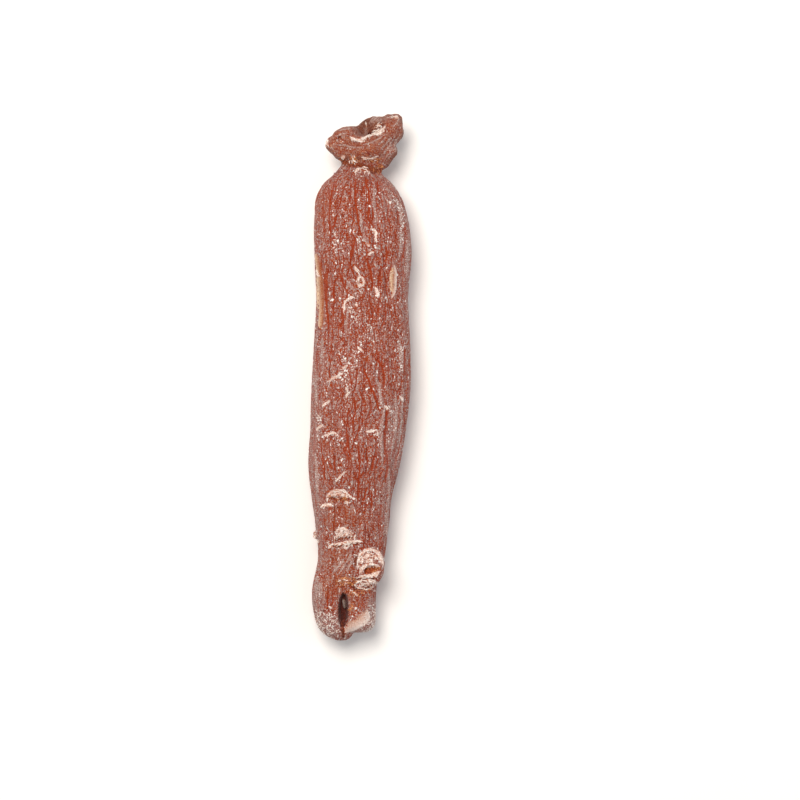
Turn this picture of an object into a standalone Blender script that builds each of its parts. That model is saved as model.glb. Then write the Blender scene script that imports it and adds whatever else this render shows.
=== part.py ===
"""One red ginseng root, steamed and dried, lying on its side as it would on a table.

The root grew as one piece, so it is one closed solid. +Y runs along the root, from its trimmed
tail to the rhizome head that the stem grew from. +Z is up. The origin is on the table, under the
middle of the root's box.
"""

import math

import bmesh
import bpy
import numpy as np
from mathutils import Matrix, Vector

MM = 0.001

# The trunk at stations along the root, from the tail to the neck, all in millimetres: the place
# along the root, the middle from side to side, half the width, the middle's height above the
# table before the underside is flattened, and half the height.
TRUNK_STATIONS = (
    (-57.0, -3.4, 5.0, 6.9, 3.9),
    (-52.0, -3.5, 6.2, 6.9, 5.0),
    (-47.0, -3.0, 6.9, 7.1, 5.9),
    (-41.5, -1.9, 7.5, 7.5, 6.5),
    (-34.0, -1.7, 8.4, 7.9, 7.3),
    (-27.0, -1.8, 9.2, 8.2, 8.0),
    (-21.5, -1.4, 10.3, 8.6, 8.8),
    (-11.0, -0.3, 11.0, 9.0, 9.4),
    (-0.5, 0.4, 11.3, 9.3, 9.8),
    (9.5, 0.6, 10.9, 9.0, 9.4),
    (17.5, 0.6, 10.5, 8.8, 9.2),
    (30.0, 0.7, 11.2, 9.1, 9.6),
    (37.0, 0.2, 10.6, 9.1, 9.1),
    (40.7, -0.2, 9.8, 9.1, 8.3),
    (44.0, -0.4, 7.9, 8.9, 6.8),
    (46.5, -0.3, 5.3, 8.7, 4.6),
    (48.3, 0.2, 4.5, 8.6, 3.7),
    (51.0, 0.6, 4.7, 8.6, 3.7),
)

# The two legs of the tail, pressed together and trimmed: middle from side to side, half the
# width, middle height, half the height, the place where the blunt end starts, how long the end
# is, how far the tip is bent sideways, and how square the end is.
LEGS = (
    (-6.8, 4.1, 6.9, 5.7, -55.6, 4.5, 2.6, 2.2),
    (-0.3, 4.0, 6.9, 5.5, -54.6, 3.6, -0.3, 3.2),
)
LEG_ROOT = -40.0 * MM
LEG_LENGTH = 20.0 * MM
LEG_SWELL = 9.0 * MM
LEG_BLEND = 0.8 * MM

# Ellipsoids of the head's knot, as centre, radii and a turn about the upright in degrees.
HEAD_LOBES = (
    ((1.5, 53.2, 9.2), (6.0, 4.0, 4.8), 0.0),
    ((-2.8, 53.9, 9.3), (3.9, 3.2, 4.0), 8.0),
    ((-6.2, 52.9, 9.9), (1.7, 2.0, 2.0), 0.0),
    ((6.9, 56.1, 9.2), (3.2, 3.8, 4.2), -8.0),
    ((8.3, 58.1, 9.4), (1.6, 1.9, 2.2), 0.0),
    ((6.2, 51.3, 9.0), (2.6, 1.9, 3.0), 0.0),
    ((5.0, 49.6, 8.8), (2.9, 2.3, 3.0), 35.0),
    ((-4.4, 51.2, 9.2), (2.9, 1.9, 3.2), -35.0),
    ((3.2, 56.4, 7.6), (4.2, 2.8, 3.4), 15.0),
    ((1.5, 51.4, 11.2), (4.9, 2.5, 2.6), 8.0),
)
HEAD_BLEND = 0.8 * MM
HEAD_START = 47.0 * MM

# The stub of a side root that was broken off.
STUB = ((2.4, -43.4, 11.5), (3.3, 4.4, 3.1), -14.0)
STUB_BLEND = 0.7 * MM

# Hollows pressed into the surface: centre, radii and turn as for a lobe, then depth and the
# height of the lip round the edge. They are the scar of last year's stem and its pith, the torn
# heart of the stub, and the cleft between the legs.
HOLLOWS = (
    ((2.1, 57.0, 11.8), (4.6, 2.7, 3.4), 32.0, 2.0, 0.35),
    ((3.6, 57.3, 11.4), (1.3, 1.0, 1.6), 32.0, 0.9, 0.0),
    ((2.8, -43.9, 14.3), (1.9, 1.5, 1.8), 12.0, 1.5, 0.3),
    ((-3.5, -52.8, 12.0), (1.6, 4.7, 3.0), -2.0, 3.2, 0.0),
)
HOLLOW_WALL = 0.55
LIP_PLACE = 1.1
LIP_THICKNESS = 0.16

# Wrinkles along the root, from its drying.
FOLDS = 19
FOLD_DEPTH = 0.6 * MM
FOLD_FADE = 5.0 * MM
TAIL_FOLDS = 0.35
UNDERSIDE_FOLDS = 0.25

# The raised scars across the root that fine side roots left: middle from side to side, place
# along the root, half the width across, how far the ends droop towards the tail, and height.
CROSS_SCARS = (
    (-4.4, -26.6, 4.6, 1.6, 0.45),
    (-4.3, -36.3, 4.4, -0.4, 0.5),
)
CROSS_SCAR_THICKNESS = 0.8 * MM

# Fine side roots, broken off short: where each leaves the root, as the place along it and the
# angle round it in degrees from +X over the top, then its length and its thickness.
ROOTLETS = (
    (-36.0, 172.0, 0.8, 1.9),
    (-14.0, -36.0, 1.6, 1.4),
    (6.0, 214.0, 1.8, 1.5),
    (24.0, -34.0, 1.5, 1.3),
)
ROOTLET_SIDES = 8
ROOTLET_SUNK = 1.4 * MM
ROOTLET_SLOPE = 0.8
ROOTLET_TAPER = 0.55

# The line that the surface is measured out from: place along the root, side, height.
SPINE = (
    (-52.0, -3.6, 5.0),
    (-41.0, -1.7, 7.0),
    (-20.0, -1.2, 8.4),
    (0.0, 0.4, 9.2),
    (20.0, 0.6, 9.0),
    (40.0, 0.0, 9.0),
    (48.3, 0.2, 8.6),
    (53.4, 1.4, 8.2),
)
# Rings of the surface: the point of the spine that each starts from, how far it leans towards
# the head in degrees, and how many rings lie between it and the next.
RINGS = (
    (-52.0, -86.0, 24),
    (-52.0, 0.0, 32),
    (-38.0, 0.0, 28),
    (-24.0, 0.0, 60),
    (38.0, 0.0, 14),
    (46.0, 0.0, 8),
    (49.0, -24.0, 10),
    (53.4, -22.0, 40),
    (53.4, 87.0, 0),
)
COLUMNS = 192
REACH = 15.0 * MM
MARCH_STEPS = 60
HALVINGS = 16
MESH_SHARE = 0.13
RESTING_FLAT_SLACK = 0.15 * MM

SKIN_COLOUR = (0.378, 0.150, 0.105, 1.0)
SKIN_ROUGHNESS = 0.6
SHARP_DEGREES = 50.0


def curve_through(keys, values, at):
    """Values of a smooth curve that passes through the given ones."""
    slopes = np.gradient(values, keys)
    at = np.clip(at, keys[0], keys[-1])
    i = np.clip(np.searchsorted(keys, at) - 1, 0, len(keys) - 2)
    span = keys[i + 1] - keys[i]
    t = (at - keys[i]) / span
    return (
        values[i] * (1 + 2 * t) * (1 - t) ** 2
        + slopes[i] * span * t * (1 - t) ** 2
        + values[i + 1] * t**2 * (3 - 2 * t)
        + slopes[i + 1] * span * t**2 * (t - 1)
    )


def columns_of(table):
    """A table of millimetres as its columns in metres."""
    return np.array(table).T * MM


def ease(share):
    """A step that leaves 0 and reaches 1 gently."""
    share = np.clip(share, 0, 1)
    return share**2 * (3 - 2 * share)


def melt(a, b, blend):
    """Two forms joined, with a fillet about as wide as blend."""
    share = np.clip(0.5 + 0.5 * (b - a) / blend, 0, 1)
    return b * (1 - share) + a * share - blend * share * (1 - share)


def local_shares(points, shape):
    """Points in an ellipsoid's own axes, where its surface is 1 from the middle."""
    centre, radii, turn = shape
    x, y, z = (points - np.array(centre) * MM).T
    c, s = math.cos(math.radians(turn)), math.sin(math.radians(turn))
    return np.stack([x * c + y * s, y * c - x * s, z], 1) / (np.array(radii) * MM)


def ellipsoid(points, shape):
    """How far points are outside an ellipsoid, negative inside it."""
    local = local_shares(points, shape)
    share = np.linalg.norm(local, axis=1)
    steepness = np.linalg.norm(local / (np.array(shape[1]) * MM), axis=1)
    return share * (share - 1) / np.maximum(steepness, 1e-9)


def trunk(points):
    """The main root, an oval tube whose girth follows the stations."""
    along, side, width, height, depth = columns_of(TRUNK_STATIONS)
    y = points[:, 1]
    width, depth = curve_through(along, width, y), curve_through(along, depth, y)
    x = (points[:, 0] - curve_through(along, side, y)) / width
    z = (points[:, 2] - curve_through(along, height, y)) / depth
    tube = (np.hypot(x, z) - 1) * np.minimum(width, depth)
    return np.maximum(tube, np.maximum(along[0] - y, y - along[-1]))


def leg(points, shape):
    """One leg of the tail, with a blunt end."""
    side, width, height, depth, end_start, end_length, bend = np.array(shape[:7]) * MM
    squareness = shape[7]
    down = LEG_ROOT - points[:, 1]
    swell = 0.6 + 0.4 * ease(down / LEG_SWELL)
    side = side + bend * np.clip(2 * down / LEG_LENGTH - 1, 0, 1) ** 2
    x = np.abs(points[:, 0] - side) / (width * swell)
    z = np.abs(points[:, 2] - height) / (depth * swell)
    end = np.maximum(end_start - points[:, 1], 0) / end_length
    share = (np.hypot(x, z) ** squareness + end**squareness) ** (1 / squareness)
    return np.maximum((share - 1) * width, -down)


def root_form(points):
    """How far points are outside the whole root, negative inside it."""
    form = trunk(points)
    for shape in LEGS:
        form = melt(form, leg(points, shape), LEG_BLEND)
    for shape in HEAD_LOBES:
        form = melt(form, ellipsoid(points, shape), HEAD_BLEND)
    return melt(form, ellipsoid(points, STUB), STUB_BLEND)


def distance_out(starts, directions):
    """How far along each ray the surface is, at its furthest crossing."""
    far = np.full(len(starts), REACH)
    near = np.zeros(len(starts))
    open_rays = np.ones(len(starts), bool)
    for distance in np.linspace(REACH, 0, MARCH_STEPS):
        rays = np.flatnonzero(open_rays)
        inside = root_form(starts[rays] + directions[rays] * distance) < 0
        near[rays[inside]] = distance
        far[rays[~inside]] = distance
        open_rays[rays[inside]] = False
    for _ in range(HALVINGS):
        middle = (near + far) / 2
        inside = root_form(starts + directions * middle[:, None]) < 0
        near, far = np.where(inside, middle, near), np.where(inside, far, middle)
    return (near + far) / 2


def ring_plan():
    """Where each ring starts along the root, and its lean in radians."""
    starts, leans = [], []
    for (start, lean, count), (next_start, next_lean, _) in zip(RINGS, RINGS[1:]):
        share = np.arange(count) / count
        starts.extend(start + (next_start - start) * share)
        leans.extend(lean + (next_lean - lean) * share)
    starts.append(RINGS[-1][0])
    leans.append(RINGS[-1][1])
    return np.array(starts) * MM, np.radians(leans)


def rays(along, lean, angle):
    """Rays out of the spine: their starts and directions."""
    spine_along, spine_side, spine_height = columns_of(SPINE)
    side = curve_through(spine_along, spine_side, along)
    height = curve_through(spine_along, spine_height, along)
    starts = np.stack([side, along, height], 1)
    across = np.cos(lean)
    return starts, np.stack([across * np.cos(angle), np.sin(lean), across * np.sin(angle)], 1)


def fold_depth(angle, lean, along):
    """How deep the drying wrinkles are: they wander, vary in width and die out at both ends."""
    uneven = 0.10 * np.sin(2 * angle + 1.3) + 0.05 * np.sin(5 * angle - 0.4 + along / (21 * MM))
    wander = 1.7 * np.sin(along / (9 * MM) + 2 * angle) + 0.9 * np.sin(along / (3.7 * MM) - 3 * angle)
    grooves = (1 - np.cos(FOLDS * (angle + uneven) + wander)) / 2
    strength = 0.72 + 0.28 * np.sin(3 * angle - along / (13 * MM))
    towards_tail = np.clip((along - LEG_ROOT) / FOLD_FADE + 1, TAIL_FOLDS, 1)
    towards_neck = np.clip((HEAD_START - along) / FOLD_FADE, 0, 1)
    below = np.clip(-np.sin(angle), 0, 1) ** 4
    fade = towards_tail * towards_neck * (1 - (1 - UNDERSIDE_FOLDS) * below) * np.cos(lean)
    return FOLD_DEPTH * strength * grooves**2 * fade


def hollow_depth(points):
    """How deep the hollows are, less the lips round them."""
    depth = np.zeros(len(points))
    for *shape, deep, lip in HOLLOWS:
        share = np.linalg.norm(local_shares(points, shape), axis=1)
        depth += deep * MM * ease((1 - share) / HOLLOW_WALL)
        depth -= lip * MM * np.exp(-(((share - LIP_PLACE) / LIP_THICKNESS) ** 2))
    return depth


def scar_height(points):
    """The raised lips of the scars across the upper side."""
    height = np.zeros(len(points))
    for side, along, half, droop, lift in np.array(CROSS_SCARS) * MM:
        across = (points[:, 0] - side) / half
        offset = points[:, 1] - along + droop * across**2
        lip = np.exp(-((offset / CROSS_SCAR_THICKNESS) ** 2)) * np.exp(-(across**4))
        height += lift * lip * (points[:, 2] > points[:, 2].mean())
    return height


def skin_points():
    """The mesh's points, ring by ring, and its two poles."""
    starts_along, leans = ring_plan()
    angles = np.arange(COLUMNS) * math.tau / COLUMNS
    lean, angle = (grid.ravel() for grid in np.meshgrid(leans, angles, indexing="ij"))
    lean = np.append(lean, [-math.pi / 2, math.pi / 2])
    angle = np.append(angle, [0, 0])
    along = np.append(np.repeat(starts_along, COLUMNS), starts_along[[0, -1]])
    starts, directions = rays(along, lean, angle)
    out = distance_out(starts, directions)
    points = starts + directions * out[:, None]
    out += scar_height(points) - fold_depth(angle, lean, points[:, 1]) - hollow_depth(points)
    points = starts + directions * out[:, None]
    points[:, 2] = np.maximum(points[:, 2], 0)
    return points


def skin_mesh(points):
    """A closed mesh of the rings, with a fan of triangles at each pole."""
    rings = (len(points) - 2) // COLUMNS
    mesh = bmesh.new()
    verts = [mesh.verts.new(point) for point in points]
    tail_pole, head_pole = verts[-2], verts[-1]
    last = (rings - 1) * COLUMNS
    for column in range(COLUMNS):
        beside = (column + 1) % COLUMNS
        for ring in range(rings - 1):
            here, ahead = ring * COLUMNS, (ring + 1) * COLUMNS
            mesh.faces.new(
                (verts[here + column], verts[ahead + column], verts[ahead + beside], verts[here + beside])
            )
        mesh.faces.new((verts[column], verts[beside], tail_pole))
        mesh.faces.new((verts[last + beside], verts[last + column], head_pole))
    bmesh.ops.recalc_face_normals(mesh, faces=mesh.faces)
    data = bpy.data.meshes.new("ginseng_root")
    mesh.to_mesh(data)
    mesh.free()
    return data


def rootlet_mesh(surface, way, length, thickness):
    """A short tapered stub whose inner end is sunk in the root."""
    mesh = bmesh.new()
    bmesh.ops.create_cone(
        mesh,
        cap_ends=True,
        segments=ROOTLET_SIDES,
        radius1=thickness / 2,
        radius2=thickness / 2 * ROOTLET_TAPER,
        depth=length + ROOTLET_SUNK,
    )
    centre = surface + way * (length - ROOTLET_SUNK) / 2
    turn = way.to_track_quat("Z", "X").to_matrix().to_4x4()
    bmesh.ops.transform(mesh, matrix=Matrix.Translation(centre) @ turn, verts=mesh.verts)
    data = bpy.data.meshes.new("rootlet")
    mesh.to_mesh(data)
    mesh.free()
    return data


def add_rootlets(collection):
    """The broken side roots, each leaning towards the tail."""
    for place, degrees, length, thickness in ROOTLETS:
        starts, directions = rays(np.array([place * MM]), np.zeros(1), np.radians([degrees]))
        surface = Vector(starts[0] + directions[0] * distance_out(starts, directions)[0])
        way = (Vector(directions[0]) - Vector((0, ROOTLET_SLOPE, 0))).normalized()
        data = rootlet_mesh(surface, way, length * MM, thickness * MM)
        collection.objects.link(bpy.data.objects.new("rootlet", data))


def apply_modifiers(obj):
    """The object keeps the shape that its modifiers give it."""
    graph = bpy.context.evaluated_depsgraph_get()
    shaped = bpy.data.meshes.new_from_object(obj.evaluated_get(graph))
    obj.modifiers.clear()
    obj.data = shaped


def thin_out(root):
    """Fewer triangles, most of them where the surface turns, and a true flat to rest on."""
    thinner = root.modifiers.new("thinner", "DECIMATE")
    thinner.ratio = MESH_SHARE
    apply_modifiers(root)
    for vert in root.data.vertices:
        if vert.co.z < RESTING_FLAT_SLACK:
            vert.co.z = 0


def fuse(root, collection):
    """The root and all that a collection holds, joined as one body."""
    union = root.modifiers.new("union", "BOOLEAN")
    union.operation = "UNION"
    union.operand_type = "COLLECTION"
    union.collection = collection
    apply_modifiers(root)
    for obj in list(collection.objects):
        bpy.data.objects.remove(obj)
    bpy.data.collections.remove(collection)


def skin_material():
    """Steamed root skin: reddish brown, with a dull sheen."""
    material = bpy.data.materials.new("root_skin")
    material.use_nodes = True
    shader = material.node_tree.nodes["Principled BSDF"]
    shader.inputs["Base Color"].default_value = SKIN_COLOUR
    shader.inputs["Roughness"].default_value = SKIN_ROUGHNESS
    shader.inputs["Metallic"].default_value = 0.0
    return material


def main():
    for obj in list(bpy.data.objects):
        bpy.data.objects.remove(obj)
    points = skin_points()
    root = bpy.data.objects.new("ginseng_root", skin_mesh(points))
    bpy.context.scene.collection.objects.link(root)
    thin_out(root)
    rootlets = bpy.data.collections.new("rootlets")
    bpy.context.scene.collection.children.link(rootlets)
    add_rootlets(rootlets)
    fuse(root, rootlets)
    middle = (points.min(0) + points.max(0)) / 2
    root.data.transform(Matrix.Translation((-middle[0], -middle[1], 0)))
    root.data.materials.clear()
    root.data.materials.append(skin_material())
    root.data.shade_smooth()
    root.data.set_sharp_from_angle(angle=math.radians(SHARP_DEGREES))


main()
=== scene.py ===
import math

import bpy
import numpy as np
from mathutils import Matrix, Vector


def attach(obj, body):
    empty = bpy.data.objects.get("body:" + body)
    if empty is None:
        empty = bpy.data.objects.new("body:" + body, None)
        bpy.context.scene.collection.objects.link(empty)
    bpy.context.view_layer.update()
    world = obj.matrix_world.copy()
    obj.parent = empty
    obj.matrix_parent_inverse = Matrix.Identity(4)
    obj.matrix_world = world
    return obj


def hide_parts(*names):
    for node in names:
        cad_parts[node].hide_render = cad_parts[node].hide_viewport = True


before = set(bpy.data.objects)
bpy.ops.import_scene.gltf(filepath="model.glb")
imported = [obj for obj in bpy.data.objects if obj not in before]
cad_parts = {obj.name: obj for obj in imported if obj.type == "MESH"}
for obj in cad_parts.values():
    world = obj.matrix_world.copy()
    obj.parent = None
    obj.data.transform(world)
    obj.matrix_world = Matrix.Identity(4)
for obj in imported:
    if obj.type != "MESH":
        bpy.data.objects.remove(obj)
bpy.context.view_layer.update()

# The looks of one red ginseng root, steamed and dried. The skin is sampled anew from the forms of
# the solid, far finer, and drying wrinkles, scars and torn tissue are worked into it. Places are
# in millimetres, +Y towards the rhizome head and +Z up, and only the last step centres them.

MM = 0.001
BODY = "root"
NODE = "ginseng_root"

# First come the forms of the solid. The trunk at stations along the root: place, middle from side
# to side, half the width, the middle's height and half the height.
TRUNK_STATIONS = (
    (-57.0, -3.4, 5.0, 6.9, 3.9),
    (-52.0, -3.5, 6.2, 6.9, 5.0),
    (-47.0, -3.0, 6.9, 7.1, 5.9),
    (-41.5, -1.9, 7.5, 7.5, 6.5),
    (-34.0, -1.7, 8.4, 7.9, 7.3),
    (-27.0, -1.8, 9.2, 8.2, 8.0),
    (-21.5, -1.4, 10.3, 8.6, 8.8),
    (-11.0, -0.3, 11.0, 9.0, 9.4),
    (-0.5, 0.4, 11.3, 9.3, 9.8),
    (9.5, 0.6, 10.9, 9.0, 9.4),
    (17.5, 0.6, 10.5, 8.8, 9.2),
    (30.0, 0.7, 11.2, 9.1, 9.6),
    (37.0, 0.2, 10.6, 9.1, 9.1),
    (40.7, -0.2, 9.8, 9.1, 8.3),
    (44.0, -0.4, 7.9, 8.9, 6.8),
    (46.5, -0.3, 5.3, 8.7, 4.6),
    (48.3, 0.2, 4.5, 8.6, 3.7),
    (51.0, 0.6, 4.7, 8.6, 3.7),
)

# The two legs of the tail: middle from side to side, half the width, middle height, half the
# height, where the blunt end starts, how long it is, how far the tip bends, and how square it is.
LEGS = (
    (-6.8, 4.1, 6.9, 5.7, -55.6, 4.5, 2.6, 2.2),
    (-0.3, 4.0, 6.9, 5.5, -54.6, 3.6, -0.3, 3.2),
)
LEG_ROOT = -40.0 * MM
LEG_LENGTH = 20.0 * MM
LEG_SWELL = 9.0 * MM
LEG_START_GIRTH = 0.6
LEG_BLEND = 0.8 * MM

# Ellipsoids of the head's knot, as centre, radii and a turn about the upright in degrees.
HEAD_LOBES = (
    ((1.5, 53.2, 9.2), (6.0, 4.0, 4.8), 0.0),
    ((-2.8, 53.9, 9.3), (3.9, 3.2, 4.0), 8.0),
    ((-6.2, 52.9, 9.9), (1.7, 2.0, 2.0), 0.0),
    ((6.9, 56.1, 9.2), (3.2, 3.8, 4.2), -8.0),
    ((8.3, 58.1, 9.4), (1.6, 1.9, 2.2), 0.0),
    ((6.2, 51.3, 9.0), (2.6, 1.9, 3.0), 0.0),
    ((5.0, 49.6, 8.8), (2.9, 2.3, 3.0), 35.0),
    ((-4.4, 51.2, 9.2), (2.9, 1.9, 3.2), -35.0),
    ((3.2, 56.4, 7.6), (4.2, 2.8, 3.4), 15.0),
    ((1.5, 51.4, 11.2), (4.9, 2.5, 2.6), 8.0),
)
HEAD_BLEND = 0.8 * MM
HEAD_START = 47.0 * MM
# The head's sides are painted darker as shade below this height, fading in over this much.
HEAD_SHADE_TOP = 12.6 * MM
HEAD_SHADE_FADE = 3.4 * MM

# The stub of a side root that was broken off.
STUB = ((2.4, -43.4, 11.5), (3.3, 4.4, 3.1), -14.0)
STUB_BLEND = 0.7 * MM

# Hollows: centre, radii and turn, then depth, height of the lip and how wide the sloping wall is.
# They are the scar of last year's stem, its pith, the torn heart of the stub, and the cleft between
# the legs.
HOLLOWS = {
    "scar": ((2.1, 57.0, 11.8), (4.6, 2.7, 3.4), 32.0, 2.0, 0.35, 0.55),
    "pith": ((3.6, 57.2, 11.4), (1.5, 0.9, 1.8), 22.0, 0.9, 0.0, 0.40),
    "heart": ((2.8, -43.8, 14.3), (1.9, 1.4, 1.8), 12.0, 1.3, 0.3, 0.45),
    "cleft": ((-3.7, -53.0, 12.0), (1.35, 4.4, 3.0), -2.0, 2.6, 0.0, 0.25),
}
LIP_PLACE = 1.1
LIP_THICKNESS = 0.16

FOLDS = 19
FOLD_DEPTH = 0.34 * MM
FOLD_FADE = 5.0 * MM
TAIL_FOLDS = 0.35
UNDERSIDE_FOLDS = 0.25
# Waves that make the folds uneven, let them wander and vary their depth: how strong each is, how
# often it goes round the root, its length along the root, and where it starts.
FOLD_UNEVENNESS = ((0.10, 2, math.inf, 1.3), (0.05, 5, 21.0 * MM, -0.4))
FOLD_WANDER = ((1.7, 2, 9.0 * MM, 0.0), (0.9, -3, 3.7 * MM, 0.0))
FOLD_VARIETY = ((0.28, 3, -13.0 * MM, 0.0),)

# Fine side roots, broken off short: place along the root, angle round it in degrees from +X over
# the top, length and thickness.
ROOTLETS = (
    (-36.0, 172.0, 0.8, 1.9),
    (-14.0, -36.0, 1.6, 1.4),
    (6.0, 214.0, 1.8, 1.5),
    (24.0, -34.0, 1.5, 1.3),
)
ROOTLET_SLOPE = 0.35
ROOTLET_HOLLOW = 0.3

# The line that the surface is measured out from: place along the root, side, height.
SPINE = (
    (-52.0, -3.6, 5.0),
    (-41.0, -1.7, 7.0),
    (-20.0, -1.2, 8.4),
    (0.0, 0.4, 9.2),
    (20.0, 0.6, 9.0),
    (40.0, 0.0, 9.0),
    (48.3, 0.2, 8.6),
    (53.4, 1.4, 8.2),
)
# Rings of the skin: where each starts on the spine, its lean towards the head in degrees, and how
# many rings lie between it and the next. They are closest where scars run across.
RINGS = (
    (-52.0, -86.0, 28),
    (-52.0, 0.0, 14),
    (-48.0, 0.0, 66),
    (-34.0, 0.0, 14),
    (-29.5, 0.0, 22),
    (-25.0, 0.0, 160),
    (38.0, 0.0, 26),
    (46.0, 0.0, 15),
    (49.0, -24.0, 20),
    (53.4, -22.0, 74),
    (53.4, 87.0, 0),
)
COLUMNS = 220
UPPER_SIDE_CLOSENESS = 0.38
GIRTH_RADIUS = 10.0 * MM
REACH = 15.0 * MM
MARCH_STEPS = 60
HALVINGS = 14
# Marks are on the upper side only. They fade in over this height, this share of it below the spine.
UPPER_EDGE = 3.0 * MM
UPPER_START = 0.4
# The skin rolled out from the top line is trusted above this far below the spine, by the sine of
# the angle round the root, and the change to the other one is this wide.
SLIT_EDGE = 0.55
SLIT_BLEND = 0.25
# The head starts gently, and is calmer and warmer than the trunk.
HEAD_EASE = 2.0 * MM
HEAD_CALM = 0.8
HEAD_WARM = 0.6

# Then comes what drying, digging and trimming left on the upper side. Each line is its width and
# then the places, side and along, that it runs through.

# Dark creases, deeper and longer than the common wrinkles.
CREASES = (
    (0.22, (-5.6, 44.2), (-6.0, 42.4), (-6.6, 40.0), (-6.8, 37.5), (-6.9, 35.0), (-6.5, 32.5),
     (-6.4, 30.5), (-6.8, 28.0)),
    (0.20, (-6.9, 25.5), (-7.4, 22.5), (-7.5, 19.5), (-7.5, 16.5), (-7.3, 13.5), (-7.0, 10.5),
     (-7.2, 8.0), (-7.1, 6.2)),
    (0.17, (-5.2, 36.6), (-5.5, 35.0), (-6.0, 33.0)),
    (0.17, (-4.0, 40.6), (-4.2, 39.2), (-4.7, 37.8)),
    (0.20, (-0.9, 44.6), (-0.9, 42.0), (-1.0, 40.4), (-0.8, 38.8), (-0.4, 36.5), (-0.2, 34.4),
     (0.2, 33.0), (0.8, 31.2)),
    (0.22, (1.5, 45.2), (1.6, 43.6), (2.1, 42.2), (2.3, 40.8), (2.2, 39.6), (2.2, 38.0),
     (2.0, 36.2), (2.4, 35.0), (3.6, 33.5)),
    (0.17, (1.2, 43.2), (0.8, 42.0), (0.5, 40.8)),
    (0.20, (4.2, 44.4), (4.2, 42.6), (4.5, 41.2), (5.0, 40.2), (5.4, 38.0)),
    (0.18, (3.2, 38.0), (3.2, 36.0), (3.0, 34.8)),
    (0.18, (4.1, 33.2), (4.2, 32.0), (4.2, 30.2)),
    (0.17, (5.4, 37.4), (5.7, 36.2), (6.1, 34.8)),
    (0.18, (8.7, 37.6), (8.9, 35.6), (8.7, 34.0)),
    (0.18, (10.2, 35.2), (10.5, 32.0), (10.3, 29.0), (9.8, 26.8), (9.7, 24.0)),
    (0.22, (-0.8, 31.4), (-1.2, 29.6), (-1.7, 28.0), (-1.9, 26.5), (-2.0, 25.0), (-1.4, 23.6),
     (-0.9, 22.4)),
    (0.32, (1.8, 26.6), (2.1, 25.2), (2.6, 23.6), (2.9, 22.0), (3.1, 20.8), (2.7, 19.4)),
    (0.18, (4.9, 24.6), (4.7, 23.0), (4.4, 21.8), (4.3, 20.4)),
    (0.17, (5.7, 23.8), (5.9, 22.6), (6.5, 21.4)),
    (0.18, (6.3, 29.4), (6.4, 27.2), (6.1, 25.8)),
    (0.24, (-7.9, 28.4), (-8.6, 27.0), (-8.8, 25.6), (-8.4, 24.0), (-7.9, 22.6), (-7.8, 20.0),
     (-7.7, 17.2)),
    (0.18, (-5.4, 22.4), (-5.7, 20.6), (-5.9, 18.8), (-5.7, 16.4)),
    (0.20, (-3.8, 17.4), (-3.8, 15.4), (-3.7, 13.0), (-4.2, 10.8)),
    (0.18, (2.5, 17.0), (2.9, 15.2), (3.1, 13.6), (2.9, 11.6)),
    (0.17, (8.0, 16.4), (8.3, 14.6), (8.6, 12.8)),
    (0.17, (6.1, 17.4), (5.9, 15.2), (6.1, 12.6)),
    (0.17, (-2.8, 13.4), (-2.6, 11.4), (-2.9, 9.4)),
    (0.20, (4.0, 4.4), (4.8, 2.8), (5.4, 1.8), (5.7, 0.4), (5.7, -2.4)),
    (0.25, (0.8, 2.6), (1.4, 0.8), (2.2, -0.8), (2.6, -2.0), (3.2, -3.4), (3.8, -5.0), (4.6, -7.4)),
    (0.17, (0.0, -2.6), (0.6, -4.2), (1.3, -5.6)),
    (0.20, (-1.1, -4.8), (-0.9, -6.4), (-0.8, -7.6), (-1.2, -9.2), (-1.4, -10.6), (-1.2, -12.4)),
    (0.25, (6.2, -6.6), (6.2, -9.0), (6.1, -11.0), (5.8, -12.6), (5.7, -14.6), (6.1, -16.6),
     (6.4, -19.4), (6.1, -21.6), (6.0, -24.0)),
    (0.18, (-2.7, -14.2), (-2.4, -16.0), (-1.9, -18.2)),
    (0.20, (-0.2, -14.8), (-0.1, -17.0), (0.2, -19.0), (0.1, -21.0), (-0.2, -24.0), (-0.3, -27.0)),
    (0.22, (3.5, -17.6), (3.1, -19.4), (2.9, -21.2)),
    (0.17, (1.7, -16.8), (1.8, -18.8)),
    (0.20, (-9.9, 5.6), (-9.9, 2.0), (-9.8, 0.0), (-9.4, -2.0)),
    (0.20, (-10.0, -8.4), (-10.2, -12.0), (-10.4, -15.0), (-10.3, -18.0), (-10.0, -21.0)),
    (0.18, (-8.3, 4.4), (-8.4, 1.4), (-8.6, -1.6)),
    (0.18, (-8.9, -14.0), (-8.6, -17.0), (-8.0, -20.0), (-7.9, -23.2)),
    (0.17, (-5.9, -17.6), (-5.7, -21.0)),
    (0.17, (8.2, -13.0), (7.8, -16.0), (7.6, -18.6)),
    (0.17, (10.2, 7.0), (10.3, 3.0), (10.1, 0.0)),
    (0.18, (1.7, -24.8), (1.3, -27.0), (0.5, -29.0)),
    (0.18, (-5.7, -29.4), (-5.7, -31.4), (-5.9, -34.0), (-5.7, -36.0)),
    (0.17, (-4.2, -29.2), (-4.7, -31.6)),
    (0.17, (2.8, -26.0), (2.9, -29.6)),
    (0.17, (4.4, -30.0), (4.5, -34.6)),
    (0.18, (-9.4, -38.4), (-9.3, -41.0), (-9.2, -43.4)),
    (0.20, (-7.1, -47.4), (-7.3, -50.6), (-7.1, -53.6)),
    (0.17, (-9.2, -46.4), (-9.5, -50.0), (-9.3, -53.4)),
)
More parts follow.
